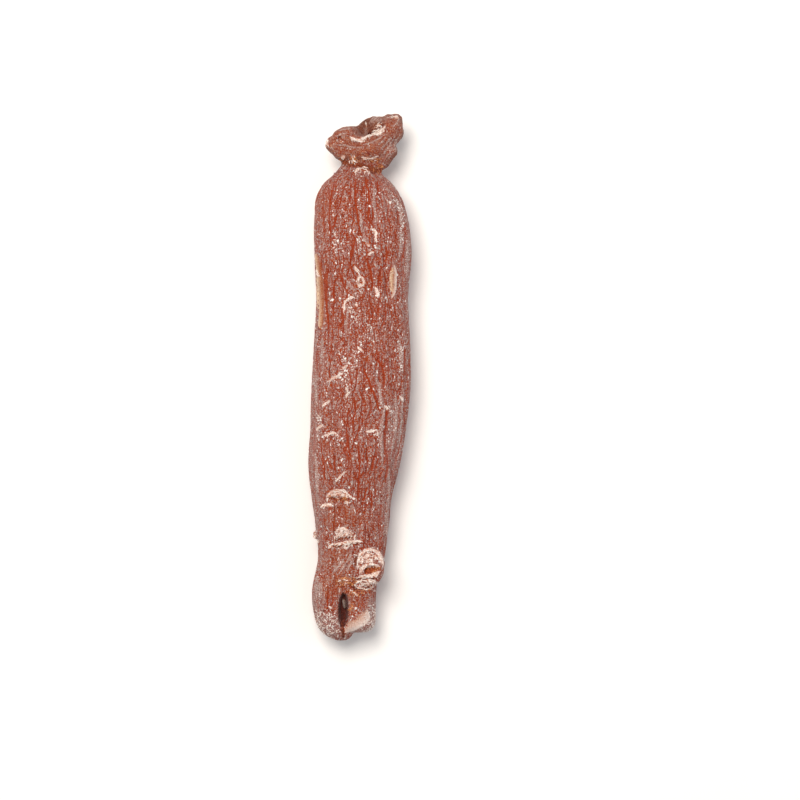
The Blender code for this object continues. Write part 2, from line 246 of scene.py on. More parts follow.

# Gaps and splits, pressed in and painted dark as their shade: under the head, beside the scars, in the stub
# and the cleft.
SHADED_SPLITS = (
    (0.42, (-3.9, 48.8), (-2.4, 48.4), (-1.0, 48.2), (0.5, 47.9), (1.6, 47.7)),
    (0.60, (1.6, 47.7), (2.4, 47.2), (3.2, 46.9), (4.3, 46.6)),
    (0.23, (-5.0, 54.4), (-4.4, 54.2)),
    (0.34, (5.0, 57.7), (5.6, 57.5)),
    (0.24, (-6.8, -27.5), (-5.6, -27.3), (-4.6, -27.5), (-3.4, -27.4)),
    (0.23, (-6.6, -38.3), (-4.6, -38.3), (-2.8, -38.1), (-1.4, -37.7), (-0.2, -37.8)),
    (0.20, (-5.6, -36.9), (-4.6, -36.6), (-3.0, -36.4), (-1.6, -36.2)),
    (0.20, (-0.4, -40.4), (-0.8, -41.6), (-0.8, -42.8)),
    (0.24, (-0.6, -45.9), (0.8, -45.6), (2.2, -46.0), (3.6, -45.4)),
    (0.27, (-1.6, -47.6), (-0.2, -48.2), (1.0, -48.2), (2.4, -47.9)),
    (0.24, (-4.6, -46.6), (-3.4, -46.2), (-2.2, -46.9), (-1.8, -47.6)),
    (0.26, (-3.9, -56.6), (-3.8, -57.8), (-3.6, -59.4)),
)

# Raised pale lines of scar tissue and curled edges of skin.
LIPS = (
    (0.45, (-2.0, 54.4), (-0.9, 53.5), (0.3, 53.4), (1.4, 54.2), (2.2, 54.8), (3.1, 55.3),
     (4.2, 55.8), (5.4, 56.6)),
    (0.30, (3.6, 54.9), (4.6, 55.1), (5.4, 55.7)),
    (0.24, (3.9, 57.6), (4.3, 57.2), (4.8, 57.0)),
    (0.18, (3.4, 56.6), (4.2, 56.6)),
    (0.20, (-7.2, 54.0), (-7.5, 53.0), (-7.0, 52.0)),
    (0.20, (0.4, 49.6), (1.4, 49.4), (2.8, 49.4), (3.8, 49.7), (4.4, 50.0)),
    (0.30, (-1.8, 49.8), (-1.5, 49.2), (-0.9, 48.7)),
    (0.26, (-4.1, 49.5), (-3.6, 50.0)),
    (0.20, (-0.9, 45.6), (-0.8, 46.4), (-0.1, 47.2), (1.0, 47.5), (1.9, 47.1), (2.3, 46.3), (2.0, 45.6)),
    (0.14, (0.2, 46.1), (0.3, 46.8)),
    (0.14, (1.1, 45.8), (1.2, 46.7)),
    (0.14, (0.2, 45.5), (0.7, 45.3)),
    (0.24, (2.8, 33.3), (3.5, 33.0), (3.9, 32.2), (3.8, 30.6)),
    (0.22, (1.9, 29.9), (2.4, 29.4)),
    (0.24, (2.0, 27.2), (2.8, 28.0), (3.5, 28.0)),
    (0.21, (-1.0, 24.8), (-0.5, 23.8), (0.1, 23.1)),
    (0.24, (0.3, 22.6), (0.9, 22.2), (1.1, 21.3), (0.7, 20.5), (-0.1, 20.5), (-0.4, 21.4),
     (-0.1, 22.3), (0.3, 22.6)),
    (0.24, (3.7, 20.2), (4.2, 19.2), (4.3, 17.9)),
    (0.24, (-3.6, 14.4), (-3.4, 16.2), (-2.9, 17.2), (-2.0, 17.8), (-1.2, 17.9)),
    (0.27, (-0.8, 16.3), (-0.3, 15.9)),
    (0.19, (-2.1, 15.0), (-1.9, 14.4)),
    (0.22, (-8.4, -6.7), (-7.5, -5.9), (-6.5, -5.2)),
    (0.19, (-3.0, -4.6), (-2.6, -3.8), (-2.0, -3.5)),
    (0.21, (-7.0, -1.0), (-6.2, -0.4), (-5.0, 0.1), (-3.6, 0.9)),
    (0.19, (-0.4, 6.8), (0.4, 6.2), (1.0, 5.4)),
    (0.19, (9.2, -4.4), (9.8, -4.8), (9.9, -5.4)),
    (0.19, (5.8, -6.5), (6.6, -7.4)),
    (0.24, (-9.8, -12.0), (-9.0, -11.2), (-8.2, -10.8)),
    (0.22, (-8.6, -13.6), (-7.0, -13.0), (-6.0, -12.4), (-4.8, -13.2)),
    (0.21, (1.4, -12.2), (2.6, -12.3), (3.8, -12.0), (4.2, -13.2)),
    (0.21, (-5.2, -23.4), (-4.2, -22.4), (-3.0, -21.3)),
    (0.24, (-7.3, -28.0), (-7.1, -26.8), (-6.2, -25.8), (-5.0, -25.5), (-3.6, -25.8),
     (-2.4, -26.6), (-1.2, -27.6)),
    (0.19, (-6.4, -26.8), (-5.0, -26.4), (-3.6, -26.6), (-2.6, -27.2)),
    (0.37, (-8.8, -29.6), (-7.8, -29.0), (-6.9, -28.9), (-6.2, -29.0)),
    (0.19, (-3.4, -28.0), (-2.2, -28.5)),
    (0.40, (-7.1, -38.7), (-6.6, -38.4), (-5.4, -38.0), (-4.2, -37.7)),
    (0.30, (-4.6, -37.8), (-3.3, -37.4), (-1.5, -37.2), (-0.3, -37.1), (0.6, -37.2)),
    (0.24, (-3.7, -38.5), (-2.9, -38.7), (-2.1, -38.2)),
    (0.26, (-5.6, -35.2), (-4.8, -34.5), (-3.6, -34.2), (-2.4, -34.6)),
    (0.16, (-5.4, -36.6), (-5.0, -35.4)),
    (0.16, (-4.6, -36.0), (-3.9, -34.8)),
    (0.16, (-3.8, -36.0), (-3.0, -34.9)),
    (0.16, (-2.9, -35.8), (-2.3, -34.9)),
    (0.16, (-2.0, -36.2), (-1.4, -35.0)),
    (0.16, (-1.2, -36.6), (-0.8, -35.6)),
    (0.42, (-10.5, -36.0), (-10.1, -36.8), (-9.6, -37.6)),
    (0.44, (-0.4, -43.0), (-0.4, -41.6), (0.3, -40.2), (1.4, -39.3), (2.8, -39.1), (4.2, -39.8),
     (5.1, -41.2), (5.4, -42.6)),
    (0.24, (0.5, -42.0), (1.0, -40.9), (2.2, -40.2), (3.6, -40.5), (4.4, -41.5)),
    (0.20, (1.4, -41.9), (2.2, -41.3), (3.2, -41.6)),
    (0.40, (0.0, -44.4), (0.6, -43.2), (1.6, -42.6), (3.0, -42.4), (4.4, -42.9)),
    (0.36, (-0.5, -45.5), (0.6, -45.2), (2.0, -45.0), (3.4, -44.9), (4.5, -44.0)),
    (0.40, (-1.0, -47.2), (-0.6, -46.4), (0.6, -46.0), (2.2, -45.9), (3.4, -46.3), (3.7, -47.1)),
    (0.30, (-0.8, -47.7), (0.4, -48.1), (1.8, -48.1), (3.2, -47.7)),
    (0.20, (0.4, -47.1), (1.4, -46.8), (2.6, -47.0)),
    (0.21, (-2.1, -48.3), (-1.2, -48.8), (-0.4, -49.6)),
    (0.21, (-4.8, -46.3), (-3.6, -45.8), (-2.4, -46.2)),
    (0.20, (-6.9, -52.0), (-6.3, -52.1)),
    (0.26, (-9.9, 24.2), (-9.5, 23.4), (-9.1, 22.8)),
    (0.16, (-3.9, 1.6), (-3.2, 2.4), (-2.6, 2.6)),
    (0.15, (-2.9, -2.3), (-2.6, -3.2)),
)

# Broad pale patches of bare tissue.
BARE_TISSUE = (
    (0.30, (7.9, 25.2), (8.2, 23.4), (8.1, 21.6), (8.0, 19.6), (7.5, 18.0)),
    (0.95, (1.7, -53.2), (1.4, -54.4), (0.5, -55.4), (-0.8, -56.1), (-2.2, -56.9), (-3.0, -57.6)),
    (0.30, (8.0, 59.3), (9.0, 59.0)),
)

# Tan cork where the thin bark is left on or was scraped.
CORK_STREAKS = (
    (0.38, (-9.8, 27.8), (-9.6, 25.6), (-9.3, 23.6), (-9.0, 21.6)),
    (0.60, (-9.4, 24.0), (-9.2, 22.0), (-9.0, 19.0), (-8.9, 16.6), (-8.9, 15.0)),
    (0.40, (-8.8, 17.6), (-8.8, 14.6), (-8.9, 11.2)),
    (0.36, (7.6, 24.4), (7.5, 22.4), (7.5, 20.6), (7.6, 19.2)),
)

# Low ridges between two creases, greyer than the rest with bloom, and paler along their crests with a
# painted highlight.
RIDGES_BLOOM_AND_HIGHLIGHT = (
    (0.17, (-4.6, 56.0), (-3.2, 56.4), (-1.8, 56.2)),
    (0.17, (-5.6, 54.6), (-4.0, 55.2), (-2.6, 55.2)),
    (0.16, (-5.4, 52.6), (-3.4, 52.4), (-1.2, 51.9), (0.8, 51.9)),
    (0.16, (0.6, 52.5), (2.6, 52.9), (4.4, 53.9), (5.8, 55.0)),
    (0.16, (7.6, 56.6), (8.6, 57.6), (9.2, 58.6)),
    (0.34, (3.6, 1.0), (4.4, -1.6), (4.9, -4.4), (5.6, -7.4), (5.1, -10.4), (4.9, -13.6),
     (5.4, -17.0), (5.3, -20.4)),
    (0.26, (-8.5, 9.0), (-8.4, 6.4), (-8.6, 3.6), (-8.4, 0.6)),
    (0.26, (-9.9, 0.4), (-10.0, -3.0), (-9.9, -6.8)),
    (0.24, (-10.1, -17.0), (-9.8, -21.4), (-9.6, -25.4)),
    (0.24, (0.4, 36.8), (0.5, 34.0), (1.2, 31.6), (1.9, 29.4)),
    (0.24, (3.3, 42.6), (3.4, 40.0), (3.6, 37.4), (4.3, 34.6)),
    (0.24, (8.4, 40.6), (9.4, 37.4), (9.8, 34.0)),
    (0.22, (9.6, 32.4), (9.4, 29.4), (9.0, 26.4)),
    (0.24, (10.9, 31.0), (11.0, 27.0), (10.6, 22.6)),
    (0.24, (-2.4, 16.0), (-2.9, 12.4), (-3.0, 9.4)),
    (0.24, (9.0, 8.4), (9.6, 5.4), (9.4, 2.0)),
    (0.24, (8.4, -3.4), (8.6, -8.0), (8.2, -12.4), (7.4, -17.4)),
    (0.22, (9.9, -2.4), (9.8, -8.4), (9.3, -14.4)),
    (0.22, (6.9, -20.4), (6.8, -25.4), (6.4, -31.4), (6.2, -36.0)),
    (0.26, (-3.0, 21.8), (-2.0, 20.6), (-0.8, 19.4)),
    (0.26, (1.0, 56.2), (1.2, 57.2), (1.9, 57.9)),
    (0.22, (2.4, 58.5), (3.6, 58.9), (5.0, 58.7)),
    (0.20, (8.2, 54.6), (7.0, 52.4), (5.4, 50.4)),
    (0.18, (8.8, 54.0), (7.6, 51.8), (6.2, 49.8)),
    (0.18, (7.2, 54.4), (6.2, 52.8), (4.8, 51.4)),
    (0.16, (8.8, 52.4), (7.8, 50.8), (6.6, 49.4)),
    (0.16, (6.0, 54.2), (5.2, 53.2), (4.2, 52.4)),
    (0.22, (-6.2, -44.6), (-4.6, -42.8), (-3.4, -41.0)),
    (0.18, (-4.6, -44.4), (-3.2, -42.4), (-1.8, -40.2)),
    (0.18, (-3.0, -43.8), (-1.8, -42.0), (-0.8, -40.4)),
    (0.16, (-10.1, -45.5), (-10.1, -49.0)),
    (0.15, (-9.6, -45.2), (-9.7, -50.4)),
    (0.15, (-9.1, -46.4), (-9.2, -51.2)),
    (0.14, (-8.6, -45.8), (-8.6, -50.2)),
    (0.13, (-7.9, -47.6), (-8.0, -50.8)),
)

# The wall in the cleft that catches the light, raised, and painted paler and greyer as painted light.
PAINTED_LIT_WALLS = ((0.42, (-4.0, -50.6), (-3.5, -51.4), (-3.2, -52.8)),)

# Zones as middle, half-widths and strength. Calm ones have fine or no wrinkles, warm ones a clear
# orange brown skin, and frosted ones a pinkish grey bloom of dried juice and starch. Those along the
# root's edges also stand in for the pale sheen seen there, so they are partly a painted sheen.
CALM_ZONES = (
    ((1.0, 53.5), (11.0, 6.0), 0.85),
    ((-3.6, -32.0), (5.2, 3.4), 0.55),
    ((-5.0, -42.4), (4.0, 4.4), 0.60),
    ((-9.2, 18.0), (1.4, 9.5), 0.80),
    ((8.0, 21.8), (0.9, 3.4), 0.85),
    ((-0.5, -55.4), (3.4, 3.4), 0.60),
    ((2.4, -41.2), (2.8, 2.6), 0.45),
    ((-3.6, -53.0), (1.4, 4.0), 0.80),
)
WARM_ZONES = (
    ((0.4, 52.2), (9.0, 3.4), 0.75),
    ((1.0, 50.6), (4.6, 1.6), 1.0),
    ((-8.6, 38.0), (2.0, 9.0), 0.55),
    ((-3.6, -32.0), (5.4, 3.6), 0.70),
    ((-4.4, -40.0), (2.6, 1.2), 1.0),
    ((-5.2, -42.4), (4.2, 4.8), 0.60),
    ((-6.6, -47.4), (3.0, 2.8), 0.85),
    ((-1.2, -51.0), (2.2, 3.6), 0.65),
    ((-8.2, 20.0), (2.4, 9.5), 0.45),
)
FROST_AND_SHEEN_ZONES = (
    ((7.2, 41.0), (3.4, 6.0), 0.50),
    ((10.6, 26.0), (1.6, 16.0), 0.50),
    ((8.4, -17.0), (3.0, 13.0), 0.55),
    ((5.4, -30.0), (2.2, 9.0), 0.45),
    ((-10.6, -8.0), (1.9, 22.0), 0.60),
    ((-9.6, -52.0), (1.6, 6.0), 0.85),
    ((-7.4, -56.4), (3.6, 3.0), 1.0),
    ((3.2, -54.6), (1.5, 4.6), 1.0),
    ((0.8, -57.6), (3.4, 1.4), 0.95),
    ((2.4, -41.2), (3.2, 2.4), 0.45),
    ((-9.6, -39.6), (1.2, 5.0), 0.70),
    ((-3.4, -35.6), (3.4, 1.8), 0.60),
    ((-9.6, -31.0), (1.6, 8.0), 0.60),
)
# Where crumbs of dried starch are thickest.
CRUMB_ZONES = (
    ((4.4, 57.2), (1.0, 0.5), 0.7),
    ((-7.6, -56.0), (3.6, 3.0), 1.0),
    ((2.8, -55.4), (1.8, 3.6), 0.9),
    ((1.0, -47.0), (2.6, 1.0), 0.5),
    ((3.2, 38.0), (5.0, 6.0), 0.05),
    ((8.6, 30.0), (1.6, 8.0), 0.12),
    ((0.0, 12.0), (4.0, 6.0), 0.05),
    ((-6.6, -34.0), (3.0, 5.0), 0.05),
    ((3.0, -30.0), (3.0, 8.0), 0.03),
)
# The trails in which they lie, each with its width and the places it runs through.
CRUMB_TRAILS = (
    (0.62, (-0.4, 6.6), (-1.2, 4.9), (-2.2, 3.2), (-3.3, 0.9), (-4.8, 0.0), (-6.3, -0.7)),
    (0.58, (-4.3, 1.9), (-3.4, 0.4), (-2.7, -2.0), (-2.4, -3.6)),
    (0.58, (0.6, 6.3), (0.0, 4.6), (-1.0, 3.0), (-2.0, 2.2)),
    (0.50, (-4.6, 5.6), (-3.6, 4.0), (-2.8, 1.6)),
    (0.45, (2.4, 13.8), (2.2, 11.0), (1.2, 8.6), (0.4, 6.6)),
    (0.45, (-0.4, 16.2), (-1.6, 14.8), (-1.0, 12.6), (1.4, 11.8)),
    (0.35, (-1.0, 33.4), (0.2, 31.0), (0.4, 27.4), (-0.4, 24.6)),
    (0.40, (3.6, 33.2), (3.9, 30.8), (2.4, 28.4), (2.2, 26.8)),
    (0.40, (7.6, 41.4), (9.2, 38.4), (9.9, 34.4), (9.6, 29.4)),
    (0.35, (-5.8, 32.6), (-5.0, 30.8), (-5.4, 28.4)),
    (0.35, (1.2, 22.2), (0.2, 20.4), (-0.4, 18.6), (-2.4, 17.6), (-3.4, 15.6)),
    (0.40, (4.2, 19.8), (4.3, 17.4)),
    (0.35, (9.7, 6.8), (9.4, 4.0), (9.6, 1.4)),
    (0.35, (1.6, -12.2), (3.0, -12.3), (4.2, -13.0)),
    (0.30, (5.6, -6.0), (6.6, -7.4), (7.6, -8.4)),
    (0.30, (8.8, -3.6), (9.6, -5.2)),
    (0.35, (-8.8, -12.8), (-7.0, -12.6), (-5.0, -13.2), (-3.6, -14.4)),
    (0.30, (-9.4, -8.4), (-9.0, -11.4)),
    (0.30, (-5.4, -23.6), (-4.0, -22.2), (-2.6, -21.2)),
    (0.45, (-5.4, -35.4), (-4.0, -35.0), (-2.4, -35.2), (-1.2, -35.8)),
)
# Where loose chips of bark stand off.
CHIP_ZONES = (
    ((-1.4, 49.2), (0.9, 0.7), 0.9),
    ((-3.9, 49.7), (0.6, 0.5), 0.9),
    ((3.0, 49.2), (2.0, 0.5), 0.5),
    ((4.4, 47.4), (0.9, 0.9), 1.0),
    ((-3.0, -46.3), (2.2, 0.9), 1.0),
    ((-0.8, -48.8), (1.8, 0.6), 0.9),
    ((-1.9, -52.4), (0.5, 0.7), 0.9),
    ((-4.8, -27.6), (2.6, 0.8), 0.5),
    ((3.2, -43.4), (1.6, 0.6), 0.5),
)

LINES = {
    "crease": CREASES,
    "split": SHADED_SPLITS,
    "lip": LIPS,
    "bare": BARE_TISSUE,
    "cork": CORK_STREAKS,
    "ridge": RIDGES_BLOOM_AND_HIGHLIGHT,
    "wall": PAINTED_LIT_WALLS,
}
ZONES = {
    "calm": CALM_ZONES,
    "warm": WARM_ZONES,
    "frost_and_sheen": FROST_AND_SHEEN_ZONES,
    "crumbs": CRUMB_ZONES,
    "chips": CHIP_ZONES,
}
LINE_LIFTS = {
    "crease": -0.16 * MM,
    "split": -0.26 * MM,
    "lip": 0.16 * MM,
    "bare": 0.08 * MM,
    "ridge": 0.10 * MM,
    "wall": 1.3 * MM,
}
LINE_END_WIDTH = 0.35
LINE_REACH = 3.0
ZONE_REACH = 1.5
TINY = 1e-9


def curve_through(keys, values, at):
    """Values of a smooth curve that passes through the given ones."""
    slopes = np.gradient(values, keys)
    at = np.clip(at, keys[0], keys[-1])
    i = np.clip(np.searchsorted(keys, at) - 1, 0, len(keys) - 2)
    span = keys[i + 1] - keys[i]
    t = (at - keys[i]) / span
    return (
        values[i] * (1 + 2 * t) * (1 - t) ** 2
        + slopes[i] * span * t * (1 - t) ** 2
        + values[i + 1] * t**2 * (3 - 2 * t)
        + slopes[i + 1] * span * t**2 * (t - 1)
    )


def columns_of(table):
    """A table of millimetres as its columns in metres."""
    return np.array(table).T * MM


def ease(share):
    """A step that leaves 0 and reaches 1 gently."""
    share = np.clip(share, 0, 1)
    return share**2 * (3 - 2 * share)


def melt(a, b, blend):
    """Two forms joined, with a fillet about as wide as blend."""
    share = np.clip(0.5 + 0.5 * (b - a) / blend, 0, 1)
    return b * (1 - share) + a * share - blend * share * (1 - share)


def local_shares(points, shape):
    """Points in an ellipsoid's own axes, where its surface is 1 from the middle."""
    centre, radii, turn = shape
    x, y, z = (points - np.array(centre) * MM).T
    c, s = math.cos(math.radians(turn)), math.sin(math.radians(turn))
    return np.stack([x * c + y * s, y * c - x * s, z], 1) / (np.array(radii) * MM)


def ellipsoid(points, shape):
    """How far points are outside an ellipsoid, negative inside it."""
    local = local_shares(points, shape)
    share = np.linalg.norm(local, axis=1)
    steepness = np.linalg.norm(local / (np.array(shape[1]) * MM), axis=1)
    return share * (share - 1) / np.maximum(steepness, TINY)


def trunk(points):
    """The main root, an oval tube whose girth follows the stations."""
    along, side, width, height, depth = columns_of(TRUNK_STATIONS)
    y = points[:, 1]
    width, depth = curve_through(along, width, y), curve_through(along, depth, y)
    x = (points[:, 0] - curve_through(along, side, y)) / width
    z = (points[:, 2] - curve_through(along, height, y)) / depth
    tube = (np.hypot(x, z) - 1) * np.minimum(width, depth)
    return np.maximum(tube, np.maximum(along[0] - y, y - along[-1]))


def leg(points, shape):
    """One leg of the tail, with a blunt end."""
    side, width, height, depth, end_start, end_length, bend = np.array(shape[:7]) * MM
    squareness = shape[7]
    down = LEG_ROOT - points[:, 1]
    swell = LEG_START_GIRTH + (1 - LEG_START_GIRTH) * ease(down / LEG_SWELL)
    side = side + bend * np.clip(2 * down / LEG_LENGTH - 1, 0, 1) ** 2
    x = np.abs(points[:, 0] - side) / (width * swell)
    z = np.abs(points[:, 2] - height) / (depth * swell)
    end = np.maximum(end_start - points[:, 1], 0) / end_length
    share = (np.hypot(x, z) ** squareness + end**squareness) ** (1 / squareness)
    return np.maximum((share - 1) * width, -down)


def root_form(points):
    """How far points are outside the whole root, negative inside it."""
    form = trunk(points)
    for shape in LEGS:
        form = melt(form, leg(points, shape), LEG_BLEND)
    for shape in HEAD_LOBES:
        form = melt(form, ellipsoid(points, shape), HEAD_BLEND)
    return melt(form, ellipsoid(points, STUB), STUB_BLEND)


def distance_out(starts, directions):
    """How far along each ray the surface is, at its furthest crossing."""
    far = np.full(len(starts), REACH)
    near = np.zeros(len(starts))
    open_rays = np.ones(len(starts), bool)
    for distance in np.linspace(REACH, 0, MARCH_STEPS):
        rays_left = np.flatnonzero(open_rays)
        inside = root_form(starts[rays_left] + directions[rays_left] * distance) < 0
        near[rays_left[inside]] = distance
        far[rays_left[~inside]] = distance
        open_rays[rays_left[inside]] = False
    for _ in range(HALVINGS):
        middle = (near + far) / 2
        inside = root_form(starts + directions * middle[:, None]) < 0
        near, far = np.where(inside, middle, near), np.where(inside, far, middle)
    return (near + far) / 2


def ring_plan():
    """Where each ring starts along the root, and its lean in radians."""
    starts, leans = [], []
    for (start, lean, count), (next_start, next_lean, _) in zip(RINGS, RINGS[1:]):
        share = np.arange(count) / count
        starts.extend(start + (next_start - start) * share)
        leans.extend(lean + (next_lean - lean) * share)
    starts.append(RINGS[-1][0])
    leans.append(RINGS[-1][1])
    return np.array(starts) * MM, np.radians(leans)


def rays(along, lean, angle):
    """Rays out of the spine: their starts and directions."""
    spine_along, spine_side, spine_height = columns_of(SPINE)
    side = curve_through(spine_along, spine_side, along)
    height = curve_through(spine_along, spine_height, along)
    starts = np.stack([side, along, height], 1)
    across = np.cos(lean)
    return starts, np.stack([across * np.cos(angle), np.sin(lean), across * np.sin(angle)], 1)


def fold_depth(angle, lean, along):
    """How deep the broad drying folds are: they wander, vary in width and die out at both ends."""
    uneven, wander, varied = (
        sum(high * np.sin(times * angle + start + along / length) for high, times, length, start in waves)
        for waves in (FOLD_UNEVENNESS, FOLD_WANDER, FOLD_VARIETY)
    )
    grooves = (1 - np.cos(FOLDS * (angle + uneven) + wander)) / 2
    strength = 1 - FOLD_VARIETY[0][0] + varied
    towards_tail = np.clip((along - LEG_ROOT) / FOLD_FADE + 1, TAIL_FOLDS, 1)
    towards_neck = np.clip((HEAD_START - along) / FOLD_FADE, 0, 1)
    below = np.clip(-np.sin(angle), 0, 1) ** 4
    fade = towards_tail * towards_neck * (1 - (1 - UNDERSIDE_FOLDS) * below) * np.cos(lean)
    return FOLD_DEPTH * strength * grooves**2 * fade


def hollow_depth(points):
    """How deep the hollows are, less the lips round them."""
    depth = np.zeros(len(points))
    for *shape, deep, lip, wall in HOLLOWS.values():
        share = np.linalg.norm(local_shares(points, shape), axis=1)
        depth += deep * MM * ease((1 - share) / wall)
        depth -= lip * MM * np.exp(-(((share - LIP_PLACE) / LIP_THICKNESS) ** 2))
    return depth


def rootlet_cover(points, along, angle):
    """How much of each place is a rootlet's stub, and how high the stubs stand."""
    cover = np.zeros(len(points))
    height = np.zeros(len(points))
    for place, turn, length, thickness in ROOTLETS:
        away = (angle - math.radians(turn) + math.pi) % math.tau - math.pi
        share = np.hypot(along - place * MM, away * GIRTH_RADIUS) / (thickness * MM / 2)
        stub = ease((1 + ROOTLET_SLOPE - share) / (2 * ROOTLET_SLOPE))
        cover = np.maximum(cover, stub)
        hollow = ROOTLET_HOLLOW * ease(1 - 2 * share)
        height = np.maximum(height, length * MM * stub * (1 - hollow))
    return cover, height


def line_nearness(points, width, places):
    """How near points are to a line on the skin, 1 on it and 0 at a few times its width, and the
    side of it they are on."""
    path = np.array(places) * MM
    width = width * MM
    nearness = np.zeros(len(points))
    side = np.ones(len(points))
    reach = LINE_REACH * width
    beside = np.all((points[:, :2] > path.min(0) - reach) & (points[:, :2] < path.max(0) + reach), axis=1)
    near = points[beside, :2]
    lengths = np.linalg.norm(np.diff(path, axis=0), axis=1)
    nearest = np.full(len(near), np.inf)
    place = np.zeros(len(near))
    near_side = np.ones(len(near))
    before = np.append(0, np.cumsum(lengths))
    for start, end, length, done in zip(path, path[1:], lengths, before):
        run, offset = end - start, near - start
        share = np.clip(offset @ run / length**2, 0, 1)
        away = np.linalg.norm(offset - share[:, None] * run, axis=1)
        closer = away < nearest
        nearest = np.where(closer, away, nearest)
        place = np.where(closer, done + share * length, place)
        near_side = np.where(closer, np.sign(run[0] * offset[:, 1] - run[1] * offset[:, 0]), near_side)
    full = np.sqrt(1 - (2 * place / before[-1] - 1) ** 4 * (1 - LINE_END_WIDTH**2))
    nearness[beside] = np.clip(1 - nearest / (reach * full), 0, 1)
    side[beside] = near_side
    return nearness, side


def lines_nearness(points, lines):
    """How near points are to the nearest of several lines, and how far to which side of it."""
    nearness = np.zeros(len(points))
    side = np.ones(len(points))
    for width, *places in lines:
        here, here_side = line_nearness(points, width, places)
        closer = here > nearness
        nearness, side = np.where(closer, here, nearness), np.where(closer, here_side, side)
    return nearness, side * (1 - nearness)


def line_profile(nearness):
    """The rounded cross-section of a line: 1 in its middle and about a third at its width."""
    return np.exp(-((LINE_REACH * (1 - nearness)) ** 2))


def zones_cover(points, zones):
    """How strongly soft-edged oval zones cover points."""
    cover = np.zeros(len(points))
    for middle, half_widths, strength in zones:
        offsets = (points[:, :2] / MM - np.array(middle)) / np.array(half_widths)
        cover = np.maximum(cover, strength * ease(ZONE_REACH - np.linalg.norm(offsets, axis=1)))
    return cover


def unrolled(points, angle):
    """Where points are on the skin as if it were slit and rolled out flat.

    The place around is measured from the top line and again from the bottom one, because each of
    the two has its slit where the other has none. Upper says how far to trust the first.
    """
    rings = points[:-2].reshape(-1, COLUMNS, 3)
    steps = np.linalg.norm(np.diff(rings, axis=0), axis=2).mean(1)
    along = np.append(np.repeat(np.append(0, np.cumsum(steps)), COLUMNS), [0, steps.sum()])
    return {
        "around": ((angle + math.pi / 2) % math.tau - math.pi) * GIRTH_RADIUS,
        "around_below": ((angle - math.pi / 2) % math.tau - math.pi) * GIRTH_RADIUS,
        "along": along,
        "upper": ease((np.sin(angle) + SLIT_EDGE) / SLIT_BLEND),
    }


def skin_grid():
    """The skin's points, ring by ring and then the two poles, and what each of them shows."""
    starts_along, leans = ring_plan()
    turn = np.arange(COLUMNS) * math.tau / COLUMNS
    angles = turn + UPPER_SIDE_CLOSENESS * np.cos(turn)
    lean, angle = (grid.ravel() for grid in np.meshgrid(leans, angles, indexing="ij"))
    lean = np.append(lean, [-math.pi / 2, math.pi / 2])
    angle = np.append(angle, [0, 0])
    along = np.append(np.repeat(starts_along, COLUMNS), starts_along[[0, -1]])
    starts, directions = rays(along, lean, angle)
    out = distance_out(starts, directions)
    points = starts + directions * out[:, None]
    upper = ease((points[:, 2] - starts[:, 2]) / UPPER_EDGE + UPPER_START)
    shows = {name: zones_cover(points, zones) * upper for name, zones in ZONES.items()}
    for name, lines in LINES.items():
        nearness, side = lines_nearness(points, lines)
        shows[name] = nearness * upper
        shows[f"{name}_side"] = side
    trails, _ = lines_nearness(points, CRUMB_TRAILS)
    for name, hollow in HOLLOWS.items():
        share = np.linalg.norm(local_shares(points, hollow[:3]), axis=1)
        shows[name] = np.clip(1 - share, 0, 1) * upper
    shows["crumbs"] = np.maximum(shows["crumbs"], trails**2 * upper) * (shows["cleft"] == 0)
    shows.update(unrolled(points, angle))
    shows["place_x"], shows["place_y"], shows["place_z"] = points.T
    head = ease((points[:, 1] - HEAD_START) / HEAD_EASE)
    shows["head"] = head
    # Painted shade: the head's lower sides are coloured darker, as the shade under the knot.
    shows["head_shade"] = head * ease((HEAD_SHADE_TOP - points[:, 2]) / HEAD_SHADE_FADE)
    shows["calm"] = np.maximum(shows["calm"], HEAD_CALM * head)
    shows["warm"] = np.maximum(shows["warm"], HEAD_WARM * head)
    shows["stub"], stub_height = rootlet_cover(points, points[:, 1], angle)
    out += stub_height - fold_depth(angle, lean, points[:, 1]) - hollow_depth(points)
    for name, lift in LINE_LIFTS.items():
        out += lift * line_profile(shows[name])
    points = starts + directions * out[:, None]
    points[:, 2] = np.maximum(points[:, 2], 0)
    middle = (points.min(0) + points.max(0)) / 2
    middle[2] = 0
    return points - middle, middle, shows


def skin_faces(rings):
    """Quads between the rings, and a fan of triangles at each pole."""
    column = np.arange(COLUMNS)
    beside = (column + 1) % COLUMNS
    faces = []
    for ring in range(rings - 1):
        here, ahead = ring * COLUMNS, (ring + 1) * COLUMNS
        faces.extend(np.stack([here + column, ahead + column, ahead + beside, here + beside], 1).tolist())
    tail_pole, head_pole, last = rings * COLUMNS, rings * COLUMNS + 1, (rings - 1) * COLUMNS
    faces.extend([int(a), int(b), tail_pole] for a, b in zip(column, beside))
    faces.extend([int(last + b), int(last + a), head_pole] for a, b in zip(column, beside))
    return faces


def skin_object(points, shows):
    """The unwrinkled skin as an object, with what each point shows as its attributes."""
    faces = skin_faces((len(points) - 2) // COLUMNS)
    return put("steamed_skin", mesh_with("steamed_skin", points.tolist(), [], faces, shows))


def put(name, data):
    """A new object in the scene, at the origin."""
    item = bpy.data.objects.new(name, data)
    bpy.context.scene.collection.objects.link(item)
    return item


def mesh_with(name, vertices, edges, faces, shows):
    """A mesh, with what each of its points shows as its attributes."""
    data = bpy.data.meshes.new(name)
    data.from_pydata(vertices, edges, faces)
    for show, values in shows.items():
        layer = data.attributes.new(show, "FLOAT", "POINT")
        layer.data.foreach_set("value", values.astype(np.float32))
    return data


def linear(code):
    """A shader colour from an sRGB hex code."""
    channels = [int(code[i : i + 2], 16) / 255 for i in (1, 3, 5)]
    return tuple(c / 12.92 if c <= 0.04045 else ((c + 0.055) / 1.055) ** 2.4 for c in channels) + (1.0,)


